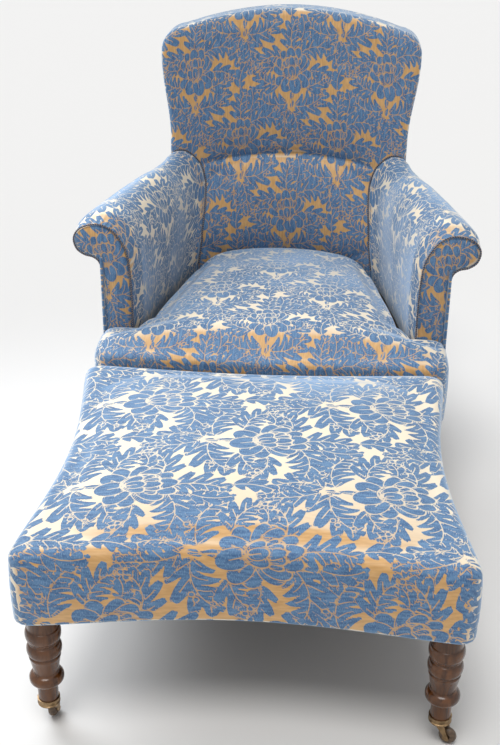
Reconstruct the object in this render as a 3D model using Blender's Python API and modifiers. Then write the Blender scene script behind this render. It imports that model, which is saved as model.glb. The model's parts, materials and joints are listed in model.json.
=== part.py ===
"""Tub armchair with a matching footstool, made as it is upholstered.

A wooden frame stands on turned legs with castors in front and on raked legs behind. Webbing
and springs carry the padded covers. Metres, +Z up, floor at z = 0, and the chair faces -Y.
"""

import math

import bmesh
import bpy
from mathutils import Matrix, Vector

# Clearances
TOUCH = 0.0003          # between pieces that bear on each other
EASE = 0.002            # between soft pieces that lie side by side
RAIL_SHY = 0.0008       # from a rail's rear end to the curved face that it meets
SWIVEL_GAP = 0.0006     # between a castor's fork and its cup
PIVOT_GAP = 0.0004      # around an axle or a stem

# Places of the chair and the stool
STOOL_GAP = 0.021       # from the stool's back corners to the seat's front corners
STOOL_TURN = math.radians(1.5)
STOOL_SHIFT = 0.001

# Rails, covers and pads
RAIL_BASE = 0.236       # underside of every rail
RAIL_HEIGHT = 0.099     # chair
STOOL_RAIL_HEIGHT = 0.082
RAIL_THICK = 0.026
COVER = 0.005           # cover and wadding where they wrap a rail
EDGE_ROUND = 0.020      # rounding along a pad's top edge

# Seat of the chair
SEAT_HALF = 0.380       # at the front corners
SEAT_CORNER = 0.050
SEAT_BOW = 0.012        # how far the front edge bows out
EAR_FLARE = 0.006       # how much wider the seat gets in front of the arms
EAR_HALF = SEAT_HALF + EAR_FLARE
EAR_BACK = 0.137
EAR_STEP = 0.002        # last stretch of the ear, where the skirt ends
SEAT_EDGE = 0.382
SEAT_CROWN = 0.043
SEAT_TUCK = 0.020       # how far the sides hang below the rails' tops
SEAT_HEART = 0.130      # depth of the point that the seat's rings shrink to

# Arms
ARM_START = 0.1455      # front plane of the arms' padding
ARM_FOOT = 0.335        # underside of the inside arm pads
ARM_BASE_WIDE = 0.068   # from an arm's outside cover to its inner foot, in front
FRONT_INNER = EAR_HALF - ARM_BASE_WIDE
FRONT_WIDTH = 0.127
FRONT_HEIGHT = 0.286
REAR_INNER = 0.216
REAR_WIDTH = 0.086
REAR_HEIGHT = 0.315
ARM_BOW = 0.012         # outward bow of the arms in plan
ARM_SWELL = 0.012       # how far the padding swells behind the arm front
ARM_DRAW = 0.015        # how far the rear end is drawn in at the seam
PANEL_THICK = 0.006     # outside arm
STUMP_DEEP = 0.045

# Back
BACK_DEPTH = 0.665      # from the seat's front to the back's face, at seat height
BACK_RISE = 0.590       # from seat height to the top
BACK_BASE_Z = 0.400
BACK_LEAN = 0.077
BACK_CURL = 0.042
BACK_HOLLOW = 0.100     # how far the sides come forward, from the arms up
BACK_HOLLOW_LOW = 0.170 # the same at seat height
TUB_TOP_Z = 0.620       # height from which the hollow no longer changes
BACK_REF = 0.310        # half width at which the hollows are measured
BACK_SKIN = 0.022       # thickness of the inside back pad
BACK_THICK = 0.082      # face to outside back
BACK_FLOOR = 0.2375
CREST_Z = 0.989         # top of the back in the middle
CREST_FALL = 0.037      # how much lower the arch ends
CREST_CORNER = 0.050
SHOULDER_DROP = 0.094   # from the top to where the back is widest
SHOULDER_Z = CREST_Z - SHOULDER_DROP
SHOULDER_HALF = 0.322
WAIST_Z = 0.690
WAIST_HALF = 0.299
BASE_HALF = 0.295
FRAME_DEEP = 0.048      # depth of posts, crest and back rail
POST_X = 0.252
POST_WIDE = 0.030
CREST_TALL = 0.045
OUTBACK_THICK = 0.005
FOOT_X = 0.262
FOOT_Y = 0.640          # front of the rear feet
FOOT_SIDE = 0.030
KNEE_Z = 0.120

# Lumbar pad
LUMBAR_HALF = 0.205
LUMBAR_Z = 0.500
LUMBAR_UP = 0.132
LUMBAR_DOWN = 0.112
LUMBAR_DEEP = 0.036
LUMBAR_SINK = 0.010
LUMBAR_LIP = 0.002

# Seams
PIPING = 0.0027         # radius of the corded piping
FACING_INSET = 0.0065
FACING_FRONT = 0.1390
FACING_DOME = 0.0022
FACING_DOME_INSET = 0.013

# Stool
STOOL_HALF = 0.3775
STOOL_DEPTH = 0.715
STOOL_CORNER = 0.030
STOOL_SIDE_HOLLOW = 0.031
STOOL_FRONT_HOLLOW = 0.036
STOOL_BACK_HOLLOW = 0.020
STOOL_EDGE = 0.371
STOOL_CROWN = 0.024
SKIRT_LIP = 0.002       # how far a skirt's lower edge is drawn in

# Legs
LEG_RADIUS = 0.0295
LEG_FOOT = 0.045        # underside of the turned legs
STOOL_LEG_INSET_X = 0.042
STOOL_LEG_INSET_Y = 0.040
SEAT_LEG_INSET = 0.042
BLOCK = 0.056
BLOCK_ROUND = 0.014
BLOCK_SINK = 0.001
BORE = 0.0048
BORE_DEEP = 0.022

# Castors
CUP_RADIUS = 0.0198
CUP_WALL = 0.0018
CUP_FLOOR = 0.0032
CUP_RISE = 0.010
WHEEL_RADIUS = 0.0155
WHEEL_HALF = 0.0068
AXLE = 0.0026
TRAIL = 0.016
CHEEK_GAP = 0.0009
CHEEK = 0.0025
CROWN_RADIUS = 0.0115
CROWN_THICK = 0.0035
EYE = 0.0060            # half width of a cheek around the axle

# Inside the seats
WEB_WIDE = 0.050
WEB_THICK = 0.0016
WEB_LAP = 0.014         # how far webbing lies under a rail
DUST_THICK = 0.0010
WIRE = 0.0018
COIL_RADIUS = 0.036
COIL_WAIST_SHARE = 0.62
SPRINGS_WIDE = 0.420    # spread of the coils across and along
SPRINGS_DEEP = 0.420
SEAT_SPRINGS_Y = 0.310  # middle of the seat's coils
STOOL_SPRINGS_WIDE = 0.450
COIL_TURNS = 3
COIL_STEPS = 6

# Counts
LEG_STEPS = 16
CASTOR_STEPS = 12
CORNER_STEPS = 4
SIDE_STEPS = 4
ARM_STEPS = 11
PANEL_STEPS = 8
RAIL_STEPS = 6

# Turned leg, foot to rail: shares of LEG_RADIUS and of the leg's height
LEG_SHARES = (
    (0.575, 0.000), (0.575, 0.060), (0.60, 0.165), (0.72, 0.180), (0.92, 0.205), (1.00, 0.255),
    (0.97, 0.295), (0.76, 0.330), (0.72, 0.345), (0.90, 0.515), (0.85, 0.530), (0.96, 0.555),
    (0.99, 0.600), (0.93, 0.645), (0.84, 0.668), (0.95, 0.690), (1.00, 0.740), (0.93, 0.795),
    (0.83, 0.830), (0.87, 0.930), (0.84, 1.000),
)

# Arm section, from the inner foot over the scroll to its tip: shares of width and height
ARM_FRONT_SHARES = (
    (0.000, 0.000), (-0.010, 0.300), (0.000, 0.577), (0.050, 0.770), (0.200, 0.909),
    (0.410, 0.986), (0.640, 1.000), (0.870, 0.969), (1.000, 0.892), (0.945, 0.794),
    (0.770, 0.755), (0.610, 0.727), (0.594, 0.717),
)
ARM_REAR_SHARES = (
    (0.230, 0.000), (0.120, 0.270), (0.010, 0.524), (0.000, 0.714), (0.116, 0.857),
    (0.314, 0.952), (0.547, 1.000), (0.780, 1.000), (0.965, 0.956), (1.000, 0.879),
    (0.988, 0.810), (0.970, 0.746), (0.962, 0.692),
)
# Where along the arm its seam with the back lies
SEAM_SHARE = 0.962
# How much of the swelling each point of the section takes
ARM_SWELL_SHARES = (0.6, 0.9, 0.9, 0.9, 1.0, 1.0, 1.0, 1.0, 1.0, 0.6, 0.2)
# and how much of the drawing in at its rear end
ARM_DRAW_SHARES = (0.6, 0.9, 0.9, 0.9, 1.0, 1.0, 1.0, 1.0, 0.6, 0.2, 0.0)
# Middle of the section, which the padding swells away from
ARM_HEART_SHARES = (0.62, 0.72)
# The hollow of the section, where the arm rail lies: left and right side, foot and roof
ARM_FRONT_HOLLOW_SHARES = (0.248, 0.590, 0.858)
ARM_REAR_HOLLOW_SHARES = (0.430, 0.870, 0.848)
# Facing below the scroll: neck and outer edge, shares of width and height
FACING_SHARES = ((0.535, 0.668), (0.525, 0.400), (0.550, 0.008))
FACING_FOOT_SHARE = 0.008
# Wooden bars of the arm, as (left, right, foot, top) shares of width and height
STUMP_SHARES = (0.252, 0.478, 0.001, 0.690)
STUMP_REAR_SHARES = (0.440, 0.820, 0.001, 0.690)
ARM_RAIL_FRONT_SHARES = (0.252, 0.488, 0.693, 0.854)
ARM_RAIL_REAR_SHARES = (0.450, 0.800, 0.693, 0.844)
PANEL_TOP_SHARES = (0.735, 0.690)
PANEL_REAR_SHARE = 0.955
# Rings of the back from its edge inward: (inset from the edge, depth behind the face)
BACK_EDGE_RINGS = (
    (SKIRT_LIP, BACK_THICK), (0.0, BACK_THICK * 0.62), (0.0, BACK_THICK * 0.34),
    (0.005, 0.012), (0.016, 0.003),
)
BACK_LINING_RINGS = (
    (BACK_SKIN, BACK_THICK), (BACK_SKIN, BACK_THICK * 0.75), (BACK_SKIN, BACK_THICK * 0.50),
    (BACK_SKIN, BACK_SKIN * 1.2), (BACK_SKIN * 1.2, BACK_SKIN),
)
BACK_INSETS = (0.040, 0.080, 0.125, 0.175, 0.230)
# The seat's webbing: span and ends of the straps across, and the middle of those along
WEB_SPAN_SHARE = 0.9
WEB_END_SHARE = 0.98
WEB_MIDDLE_SHARE = 0.56
# Edge of the seat's dust cover over its webbing: shares across and along
DUST_SHARES = (
    (0.80, -0.01), (0.80, 0.16), (1.02, 0.20), (1.02, 0.40), (1.02, 0.60), (1.02, 0.78),
    (0.98, 0.93), (0.90, 0.93), (0.90, 1.01), (0.60, 1.01), (0.30, 1.01), (0.0, 1.01),
)
# How far the arm rail's hole runs on, as a share of the arm
RAIL_ROOM_SHARE = 1.04


def clamp(value):
    """The value, kept from 0 to 1."""
    return max(0.0, min(1.0, value))


def smooth(share):
    """A share eased at both ends."""
    share = clamp(share)
    return share * share * (3 - 2 * share)


def mix(start, end, share):
    """The value at a share of the way from start to end."""
    return start + (end - start) * share


# Scene and materials

def clear_scene():
    """Remove everything that the scene starts with."""
    for obj in list(bpy.data.objects):
        bpy.data.objects.remove(obj, do_unlink=True)


def new_collection(name):
    """A collection linked to the scene."""
    collection = bpy.data.collections.new(name)
    bpy.context.scene.collection.children.link(collection)
    return collection


def new_material(name, colour, roughness, metallic=0.0):
    """A Principled material with one colour."""
    material = bpy.data.materials.new(name)
    material.use_nodes = True
    shader = material.node_tree.nodes["Principled BSDF"]
    shader.inputs["Base Color"].default_value = (*colour, 1.0)
    shader.inputs["Roughness"].default_value = roughness
    shader.inputs["Metallic"].default_value = metallic
    material.diffuse_color = (*colour, 1.0)
    return material


clear_scene()
PARTS = new_collection("tub_armchair_and_footstool")
CUTTERS = new_collection("cutters")


def add_object(name, data, finish, parent=None, cutter=False):
    """An object made of a mesh or curve, with its own material."""
    obj = bpy.data.objects.new(name, data)
    (CUTTERS if cutter else PARTS).objects.link(obj)
    obj.parent = parent
    if cutter:
        obj.hide_render = True
        obj.display_type = "WIRE"
        return obj
    if not data.materials:
        data.materials.append(new_material(name + "_finish", *finish))
    return obj


def add_empty(name, location, turn=0.0, parent=None):
    """An empty that places the objects under it."""
    empty = bpy.data.objects.new(name, None)
    PARTS.objects.link(empty)
    empty.parent = parent
    empty.location = location
    empty.rotation_euler = (0.0, 0.0, turn)
    return empty


def mesh_from(name, bm):
    """A mesh with its faces turned outward, shaded smooth but for its sharp edges."""
    bmesh.ops.recalc_face_normals(bm, faces=bm.faces)
    mesh = bpy.data.meshes.new(name)
    bm.to_mesh(mesh)
    bm.free()
    mesh.shade_smooth()
    mesh.set_sharp_from_angle(angle=math.radians(40))
    return mesh


FABRIC = ((0.16, 0.24, 0.42), 0.75)
LINING = ((0.05, 0.05, 0.05), 0.90)
BEECH = ((0.52, 0.36, 0.20), 0.60)
WALNUT = ((0.11, 0.04, 0.02), 0.25)
JUTE = ((0.50, 0.38, 0.22), 0.95)
STEEL = ((0.30, 0.30, 0.31), 0.40, 1.0)
BRASS = ((0.45, 0.30, 0.14), 0.40, 1.0)
BOWL = ((0.16, 0.09, 0.06), 0.50)
CORD = ((0.09, 0.10, 0.16), 0.80)


# Shapes

def loft_mesh(name, rows, closed=True):
    """A mesh through rows of points; a row of one point closes to a tip.

    Closed rows are rings, and end rings of several points are capped.
    """
    bm = bmesh.new()
    rings = [[bm.verts.new(point) for point in row] for row in rows]
    for near, far in zip(rings, rings[1:]):
        if len(near) == 1:
            near, far = far, near
        count = len(near)
        for i in range(count if closed else count - 1):
            j = (i + 1) % count
            if len(far) == 1:
                bm.faces.new((near[i], near[j], far[0]))
            else:
                bm.faces.new((near[i], near[j], far[j], far[i]))
    if closed:
        for ring in (rings[0], rings[-1]):
            if len(ring) > 1:
                bm.faces.new(ring)
    return mesh_from(name, bm)


def add_loft(name, rows, finish, parent, cutter=False):
    """A closed solid through rings of points."""
    return add_object(name, loft_mesh(name, rows), finish, parent, cutter)


def add_box(name, low, high, finish, parent, cutter=False):
    """A box between two corners."""
    bm = bmesh.new()
    size = Vector(high) - Vector(low)
    middle = (Vector(high) + Vector(low)) / 2
    place = Matrix.Translation(middle) @ Matrix.Diagonal((*size, 1.0))
    bmesh.ops.create_cube(bm, size=1.0, matrix=place)
    return add_object(name, mesh_from(name, bm), finish, parent, cutter)


def add_slab(name, outline, floor_z, roof_z, finish, parent):
    """A flat sheet with the given outline."""
    return add_loft(name, [level(outline, floor_z), level(outline, roof_z)], finish, parent)


def add_screw(name, profile, steps, finish, parent, closed=False):
    """A turned solid: the profile, of (radius, z), runs down its outer side."""
    bm = bmesh.new()
    verts = [bm.verts.new((radius, 0.0, z)) for radius, z in profile]
    for near, far in zip(verts, verts[1:]):
        bm.edges.new((near, far))
    if closed:
        bm.edges.new((verts[-1], verts[0]))
    mesh = bpy.data.meshes.new(name)
    bm.to_mesh(mesh)
    bm.free()
    obj = add_object(name, mesh, finish, parent)
    screw = obj.modifiers.new("Turn", "SCREW")
    screw.steps = steps
    screw.render_steps = steps
    screw.use_merge_vertices = True
    screw.merge_threshold = 0.00001
    screw.use_smooth_shade = True
    return obj


def add_tube(name, points, radius, finish, parent, sides=0):
    """A wire or cord along a line of points."""
    curve = bpy.data.curves.new(name, "CURVE")
    curve.dimensions = "3D"
    curve.bevel_depth = radius
    curve.bevel_resolution = sides
    curve.use_fill_caps = True
    spline = curve.splines.new("POLY")
    spline.points.add(len(points) - 1)
    for knot, point in zip(spline.points, points):
        knot.co = (*point, 1.0)
    return add_object(name, curve, finish, parent)


def boolean(obj, other, operation="DIFFERENCE"):
    """Cut or join another mesh object."""
    change = obj.modifiers.new(operation.title() + "_" + other.name, "BOOLEAN")
    change.operation = operation
    change.object = other
    change.solver = "EXACT"


def level(outline, z):
    """A plan outline raised to a height."""
    return [(x, y, z) for x, y in outline]


def inset(outline, distance):
    """A closed outline moved inward along its corner normals."""
    area = sum(a[0] * b[1] - b[0] * a[1] for a, b in zip(outline, outline[1:] + outline[:1]))
    turn = math.copysign(distance, area)
    moved = []
    count = len(outline)
    for i, here in enumerate(outline):
        before = Vector(outline[i - 1])
        after = Vector(outline[(i + 1) % count])
        here = Vector(here)
        first = (here - before).normalized()
        second = (after - here).normalized()
        along = (first + second).normalized()
        reach = turn / max(0.5, along.dot(first))
        moved.append((here.x - along.y * reach, here.y + along.x * reach))
    return moved


def shrink(outline, heart, share):
    """An outline scaled towards a point."""
    return [(mix(heart[0], x, share), mix(heart[1], y, share)) for x, y in outline]


def arc(centre, radius, start, end, steps):
    """Points of an arc, both ends included, with angles in degrees."""
    angles = [math.radians(mix(start, end, i / steps)) for i in range(steps + 1)]
    return [
        (centre[0] + radius * math.cos(angle), centre[1] + radius * math.sin(angle))
        for angle in angles
    ]


def rounded_line(points, steps):
    """A smooth line through points, with some steps between each two."""
    line = []
    last = len(points) - 1
    for i in range(last):
        p0, p1, p2, p3 = (
            Vector(points[max(i - 1, 0)]), Vector(points[i]),
            Vector(points[i + 1]), Vector(points[min(i + 2, last)]),
        )
        for k in range(steps):
            s = k / steps
            line.append(tuple(
                0.5 * (2 * p1 + (p2 - p0) * s + (2 * p0 - 5 * p1 + 4 * p2 - p3) * s * s
                       + (3 * p1 - p0 - 3 * p2 + p3) * s * s * s)
            ))
    line.append(tuple(points[-1]))
    return line


# Forms of the back and the arms, which their neighbours follow

def back_face(x, z):
    """Depth of the inside back's face, without the lumbar pad."""
    rise = (z - BACK_BASE_Z) / BACK_RISE
    middle = BACK_DEPTH + BACK_LEAN * rise + BACK_CURL * rise * rise
    low = clamp((TUB_TOP_Z - z) / (TUB_TOP_Z - BACK_BASE_Z))
    hollow = mix(BACK_HOLLOW, BACK_HOLLOW_LOW, low)
    return middle - hollow * (x / BACK_REF) ** 2


def back_point(x, depth, z):
    """A point at a depth behind the inside back's face."""
    return (x, back_face(x, z) + depth, z)


def back_half(z):
    """Half width of the back at a height."""
    if z > WAIST_Z:
        return mix(WAIST_HALF, SHOULDER_HALF, smooth((z - WAIST_Z) / (SHOULDER_Z - WAIST_Z)))
    return mix(BASE_HALF, WAIST_HALF, clamp((z - BACK_FLOOR) / (WAIST_Z - BACK_FLOOR)))


def crest_height(x):
    """Height of the arched top, without its rounded corners."""
    return CREST_Z - CREST_FALL * (x / (SHOULDER_HALF - CREST_CORNER)) ** 2


def lumbar_ring(x, z):
    """0 in the middle of the lumbar pad and 1 at its edge."""
    height = LUMBAR_UP if z > LUMBAR_Z else LUMBAR_DOWN
    across = abs(x) / LUMBAR_HALF
    up = abs(z - LUMBAR_Z) / height
    return (across ** 2.5 + up ** 2.5) ** 0.4


def lumbar_depth(x, z):
    """How far the lumbar pad stands out of the back's face."""
    return LUMBAR_DEEP * (1 - min(1.0, lumbar_ring(x, z)) ** 5)


def arm_place(front, rear, share, reach=0.0):
    """A point of the arm: front and rear are (x, z) at its ends, share runs from 0 to 1."""
    x = mix(front[0], rear[0], share) + ARM_BOW * math.sin(math.pi * share)
    z = mix(front[1], rear[1], share)
    return (x, mix(ARM_START, back_face(x, z) + reach, share), z)


def front_xz(across, up):
    """A place in the arm's front section."""
    return (FRONT_INNER + across * FRONT_WIDTH, ARM_FOOT + up * FRONT_HEIGHT)


def rear_xz(across, up):
    """A place in the arm's rear section."""
    return (REAR_INNER + across * REAR_WIDTH, ARM_FOOT + up * REAR_HEIGHT)


def arm_skin(index, share, reach=0.0):
    """A point of the inside arm's cover."""
    front = front_xz(*ARM_FRONT_SHARES[index])
    rear = rear_xz(*ARM_REAR_SHARES[index])
    x, y, z = arm_place(front, rear, share, reach)
    if index >= len(ARM_SWELL_SHARES):
        return (x, y, z)
    away = arm_away(x, z, share)
    swollen = ARM_SWELL * ARM_SWELL_SHARES[index] * smooth(share / 0.12) * (1 - share / 2)
    grown = swollen - ARM_DRAW * ARM_DRAW_SHARES[index] * smooth((share - 0.86) / 0.14)
    return (x + away.x * grown, y, z + away.y * grown)


def arm_away(x, z, share):
    """Direction out of the arm's section at a place, in x and z."""
    front = front_xz(*ARM_HEART_SHARES)
    rear = rear_xz(*ARM_HEART_SHARES)
    out = Vector((x - mix(front[0], rear[0], share), max(0.0, z - mix(front[1], rear[1], share))))
    return out.normalized()


def flip(points, side):
    """Points for the right arm, or mirrored for the left."""
    return [(x * side, y, z) for x, y, z in points]


# Outlines

def place_on(line, axis, where):
    """The point of a line that lies at a place along an axis."""
    for near, far in zip(line, line[1:]):
        if near[axis] <= where <= far[axis]:
            share = (where - near[axis]) / (far[axis] - near[axis])
            return (mix(near[0], far[0], share), mix(near[1], far[1], share))
    return line[-1]


def stretch(points, axis, reach):
    """The part of a side between -reach and reach along an axis, in order."""
    line = sorted(points, key=lambda point: point[axis])
    inner = [point for point in line if abs(point[axis]) < reach]
    return [place_on(line, axis, -reach)] + inner + [place_on(line, axis, reach)]


def stool_outline():
    """Plan of the stool: rounded corners between sides that draw in."""
    half = (STOOL_HALF, STOOL_DEPTH / 2)
    corners = ((1, -1, -90), (1, 1, 0), (-1, 1, 90), (-1, -1, 180))
    hollows = (STOOL_SIDE_HOLLOW, STOOL_BACK_HOLLOW, STOOL_SIDE_HOLLOW, STOOL_FRONT_HOLLOW)
    arcs = []
    for across, along, start in corners:
        centre = (across * (half[0] - STOOL_CORNER), along * (half[1] - STOOL_CORNER))
        arcs.append(arc(centre, STOOL_CORNER, start, start + 90, CORNER_STEPS))
    outline = []
    for i, hollow in enumerate(hollows):
        outline += arcs[i]
        start = Vector(arcs[i][-1])
        end = Vector(arcs[(i + 1) % 4][0])
        inward = Vector((start.y - end.y, end.x - start.x)).normalized()
        for k in range(1, SIDE_STEPS + 1):
            share = k / (SIDE_STEPS + 1)
            depth = hollow * (1 - (2 * share - 1) ** 2)
            outline.append(tuple(start.lerp(end, share) + inward * depth))
    return outline


def seat_front(x):
    """Depth of the seat's bowed front edge."""
    return -SEAT_BOW * (1 - (x / SEAT_HALF) ** 2)


def seat_outline():
    """Plan of the seat, and for each point whether its skirt covers a rail."""
    straight = SEAT_HALF - SEAT_CORNER
    half = [(straight * share, seat_front(straight * share)) for share in (0.0, 0.3, 0.6, 0.85)]
    half += arc((straight, seat_front(straight) + SEAT_CORNER), SEAT_CORNER, -85, 0, CORNER_STEPS)
    half.append((EAR_HALF, EAR_BACK - EAR_STEP))
    skirted = len(half)
    half.append((EAR_HALF, EAR_BACK - TOUCH))
    half.append((mix(EAR_HALF, FRONT_INNER, 0.5), EAR_BACK))
    half.append((FRONT_INNER - EASE, EAR_BACK))
    for share in (0.10, 0.25, 0.42, 0.58, 0.74, 0.87):
        x, y, _ = arm_skin(1, share)
        half.append((x - EASE, y))
    corner = half[-1][0]
    for share in (0.80, 0.58, 0.34, 0.0):
        x = corner * share
        half.append((x, back_face(x, SEAT_EDGE)))
    outline = half + [(-x, y) for x, y in reversed(half[1:-1])]
    covers = [i < skirted or i > len(outline) - skirted for i in range(len(outline))]
    return outline, covers


def arm_front_outline():
    """Outline of the arm's front in x and z, from the inner foot to the outer foot."""
    inner = front_xz(ARM_FRONT_SHARES[0][0], FACING_FOOT_SHARE)
    scroll = [front_xz(*share) for share in ARM_FRONT_SHARES[1:-1]]
    return rounded_line([inner] + scroll + [front_xz(*share) for share in FACING_SHARES], 2)


# Soft pieces

def add_pad(name, outline, floors, roof_z, edge_z, crown, heart, parent):
    """An upholstered top: skirt over the rails, rounded edge and crowned face."""
    lined = inset(outline, COVER)
    lip = inset(outline, SKIRT_LIP)
    wall = [mix(floor, edge_z - EDGE_ROUND, 0.5) for floor in floors]
    shoulder = inset(outline, EDGE_ROUND * 0.3)
    brow = inset(outline, EDGE_ROUND)
    rows = [
        level(lined, roof_z),
        [(x, y, floor) for (x, y), floor in zip(lined, floors)],
        [(x, y, floor) for (x, y), floor in zip(lip, floors)],
        [(x, y, z) for (x, y), z in zip(outline, wall)],
        level(outline, edge_z - EDGE_ROUND),
        level(shoulder, edge_z - EDGE_ROUND * 0.3),
        level(brow, edge_z),
    ]
    for share in (0.84, 0.60, 0.32):
        rows.append(level(shrink(brow, heart, share), edge_z + crown * (1 - share ** 2.4)))
    rows.append([(*heart, edge_z + crown)])
    return add_loft(name, rows, FABRIC, parent)


def add_seat_pad(parent, room):
    """The sprung seat, which spreads in front of the arms."""
    outline, covers = seat_outline()
    roof_z = RAIL_BASE + RAIL_HEIGHT + TOUCH
    tucked = RAIL_BASE + RAIL_HEIGHT - SEAT_TUCK
    floors = []
    for (x, y), covered in zip(outline, covers):
        over_rail = y > EAR_BACK - EAR_STEP and abs(x) > FRONT_INNER
        floors.append(RAIL_BASE if covered else roof_z + TOUCH * 3 if over_rail else tucked)
    heart = (0.0, SEAT_HEART)
    pad = add_pad(
        "seat_pad", outline, floors, roof_z + COVER, SEAT_EDGE, SEAT_CROWN, heart, parent)
    boolean(pad, room)
    return pad


def back_levels():
    """Heights at which everything that follows the back has its points."""
    knee = mix(BACK_BASE_Z, TUB_TOP_Z, 0.5)
    return [BACK_FLOOR, RAIL_BASE + RAIL_HEIGHT, BACK_BASE_Z, knee, TUB_TOP_Z, WAIST_Z]


def back_arch():
    """Half of the back's edge in x and z, from the floor up to the middle of the top."""
    heights = back_levels() + [mix(WAIST_Z, SHOULDER_Z, 0.42), SHOULDER_Z - CREST_CORNER]
    side = [(back_half(z), z) for z in heights]
    centre_x = SHOULDER_HALF - CREST_CORNER
    centre = (centre_x, crest_height(centre_x) - CREST_CORNER)
    side += arc(centre, CREST_CORNER, 0, 84, 4)
    side += [(centre_x * share, crest_height(centre_x * share)) for share in (0.72, 0.38, 0.0)]
    return side


def back_arches(rings, grow=0.0):
    """Nested arches of the back, from (inset from the edge, depth) pairs."""
    half = back_arch()
    arch = half + [(-x, z) for x, z in reversed(half[:-1])]
    rows = []
    for drawn, depth in rings:
        across = 1 + (grow - drawn) / SHOULDER_HALF
        up = 1 + (grow - drawn) / (CREST_Z - TUB_TOP_Z)
        row = []
        for x, z in arch:
            raised = z if z < TUB_TOP_Z else mix(TUB_TOP_Z, z, up)
            row.append(back_point(x * across, depth - grow, raised))
        rows.append(row)
    return rows


def back_spine(row, depth):
    """Points up the middle of the back, beside the points of its innermost arch."""
    middle = len(row) // 2
    top = row[middle][2]
    spine = []
    for i in range(middle):
        z = row[i][2]
        spine.append(back_point(0.0, depth, z if z < WAIST_Z else mix(WAIST_Z, z, 0.8)))
    return spine


def back_sheets(name, front_edge, rear_edge, depth, grow=0.0):
    """A mesh between two surfaces of the back, each from its edge rings to its middle."""
    bm = bmesh.new()
    sheets = []
    for edge, deep in ((front_edge, 0.0), (rear_edge, depth)):
        rings = list(edge) + [(drawn, deep) for drawn in BACK_INSETS]
        rows = back_arches(rings, grow)
        spine = back_spine(rows[-1], deep - grow)
        grid = [[bm.verts.new(point) for point in row] for row in rows]
        core = [bm.verts.new(point) for point in spine] + [grid[-1][len(spine)]]
        for near, far in list(zip(grid, grid[1:])) + [(grid[-1], None)]:
            for i in range(len(spine)):
                for k, step in ((i, 1), (len(near) - 1 - i, -1)):
                    inner = (far[k], far[k + step]) if far else (core[i], core[i + 1])
                    bm.faces.new((near[k], near[k + step], inner[0]))
                    if inner[1] != near[k + step]:
                        bm.faces.new((near[k + step], inner[1], inner[0]))
        sheets.append([row[0] for row in grid] + [core[0]] + [row[-1] for row in grid[::-1]])
        sheets.append(grid[0])
    for first, second in ((sheets[0], sheets[2]), (sheets[1], sheets[3])):
        for i in range(len(first) - 1):
            bm.faces.new((first[i], first[i + 1], second[i + 1], second[i]))
    return mesh_from(name, bm)


def add_back_pad(parent):
    """The inside back pad, wrapped around the frame and open behind and below."""
    mesh = back_sheets("back_pad", BACK_EDGE_RINGS, BACK_LINING_RINGS, BACK_SKIN)
    return add_object("back_pad", mesh, FABRIC, parent)


def add_back_room(parent):
    """The room that the seat, the arms and the lumbar pad leave for the back pad."""
    depth = BACK_THICK * 0.8
    rear = [(drawn, depth) for drawn, _ in BACK_EDGE_RINGS[1:]]
    mesh = back_sheets("back_room", BACK_EDGE_RINGS[1:], rear, depth, TOUCH * 2)
    return add_object("back_room", mesh, FABRIC, parent, cutter=True)


def add_lumbar_pad(parent, room):
    """The bolster low on the back, closed along a fold at its top."""
    steps = 26
    outline = []
    for i in range(steps):
        angle = 2 * math.pi * i / steps
        across = math.copysign(abs(math.cos(angle)) ** 0.8, math.cos(angle))
        up = math.copysign(abs(math.sin(angle)) ** 0.8, math.sin(angle))
        height = LUMBAR_UP if up > 0 else LUMBAR_DOWN
        outline.append((LUMBAR_HALF * across, LUMBAR_Z + height * up))
    heart = (0.0, LUMBAR_Z)
    rows = [[back_point(*heart[:1], LUMBAR_SINK, heart[1])]]
    for share in (0.5, 1.0):
        rows.append([
            back_point(x, LUMBAR_SINK, z) for x, z in shrink(outline, heart, share)
        ])
    for share in (1.0, 0.97, 0.90, 0.75, 0.45):
        rows.append([
            back_point(x, -LUMBAR_LIP - lumbar_depth(x, z), z)
            for x, z in shrink(outline, heart, share)
        ])
    rows.append([back_point(0.0, -LUMBAR_LIP - LUMBAR_DEEP, LUMBAR_Z)])
    pad = add_loft("lumbar_pad", rows, FABRIC, parent)
    boolean(pad, room)
    return pad


def arm_shares(steps, end=1.0):
    """Shares along the arm, closer together at both ends."""
    return [end * (0.5 - 0.5 * math.cos(math.pi * i / steps)) for i in range(steps + 1)]


def add_inside_arm(name, side, parent, room):
    """Inner arm pad, which rolls over the arm rail into the scroll."""
    left, right, roof = ARM_FRONT_HOLLOW_SHARES
    front_hollow = [front_xz(right, roof), front_xz(left, roof), front_xz(left, 0.0)]
    left, right, roof = ARM_REAR_HOLLOW_SHARES
    rear_hollow = [rear_xz(right, roof), rear_xz(left, roof), rear_xz(left, 0.0)]
    rows = []
    for share in arm_shares(ARM_STEPS):
        ring = [arm_skin(i, share, LUMBAR_SINK) for i in range(len(ARM_FRONT_SHARES))]
        for front, rear in zip(front_hollow, rear_hollow):
            ring.append(arm_place(front, rear, share, LUMBAR_SINK))
        rows.append(flip(ring, side))
    pad = add_loft(name, rows, FABRIC, parent)
    boolean(pad, room)
    return pad


def bar_rows(front, rear, span, steps, reach=0.0, grow=0.0):
    """Rings of a bar along the arm; front and rear are its (left, right, foot, top)."""
    rows = []
    for i in range(steps + 1):
        share = mix(span[0], span[1], i / steps)
        ring = []
        for across, up in ((0, 2), (1, 2), (1, 3), (0, 3)):
            out_x = grow if across else -grow
            out_z = grow if up == 3 else -grow
            here = (front[across] + out_x, front[up] + out_z)
            there = (rear[across] + out_x, rear[up] + out_z)
            ring.append(arm_place(here, there, share, reach))
        rows.append(ring)
    return rows


def section_rect(place, shares):
    """(left, right, foot, top) in x and z from shares of a section."""
    left, foot = place(shares[0], shares[2])
    right, top = place(shares[1], shares[3])
    return (left, right, foot, top)


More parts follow.
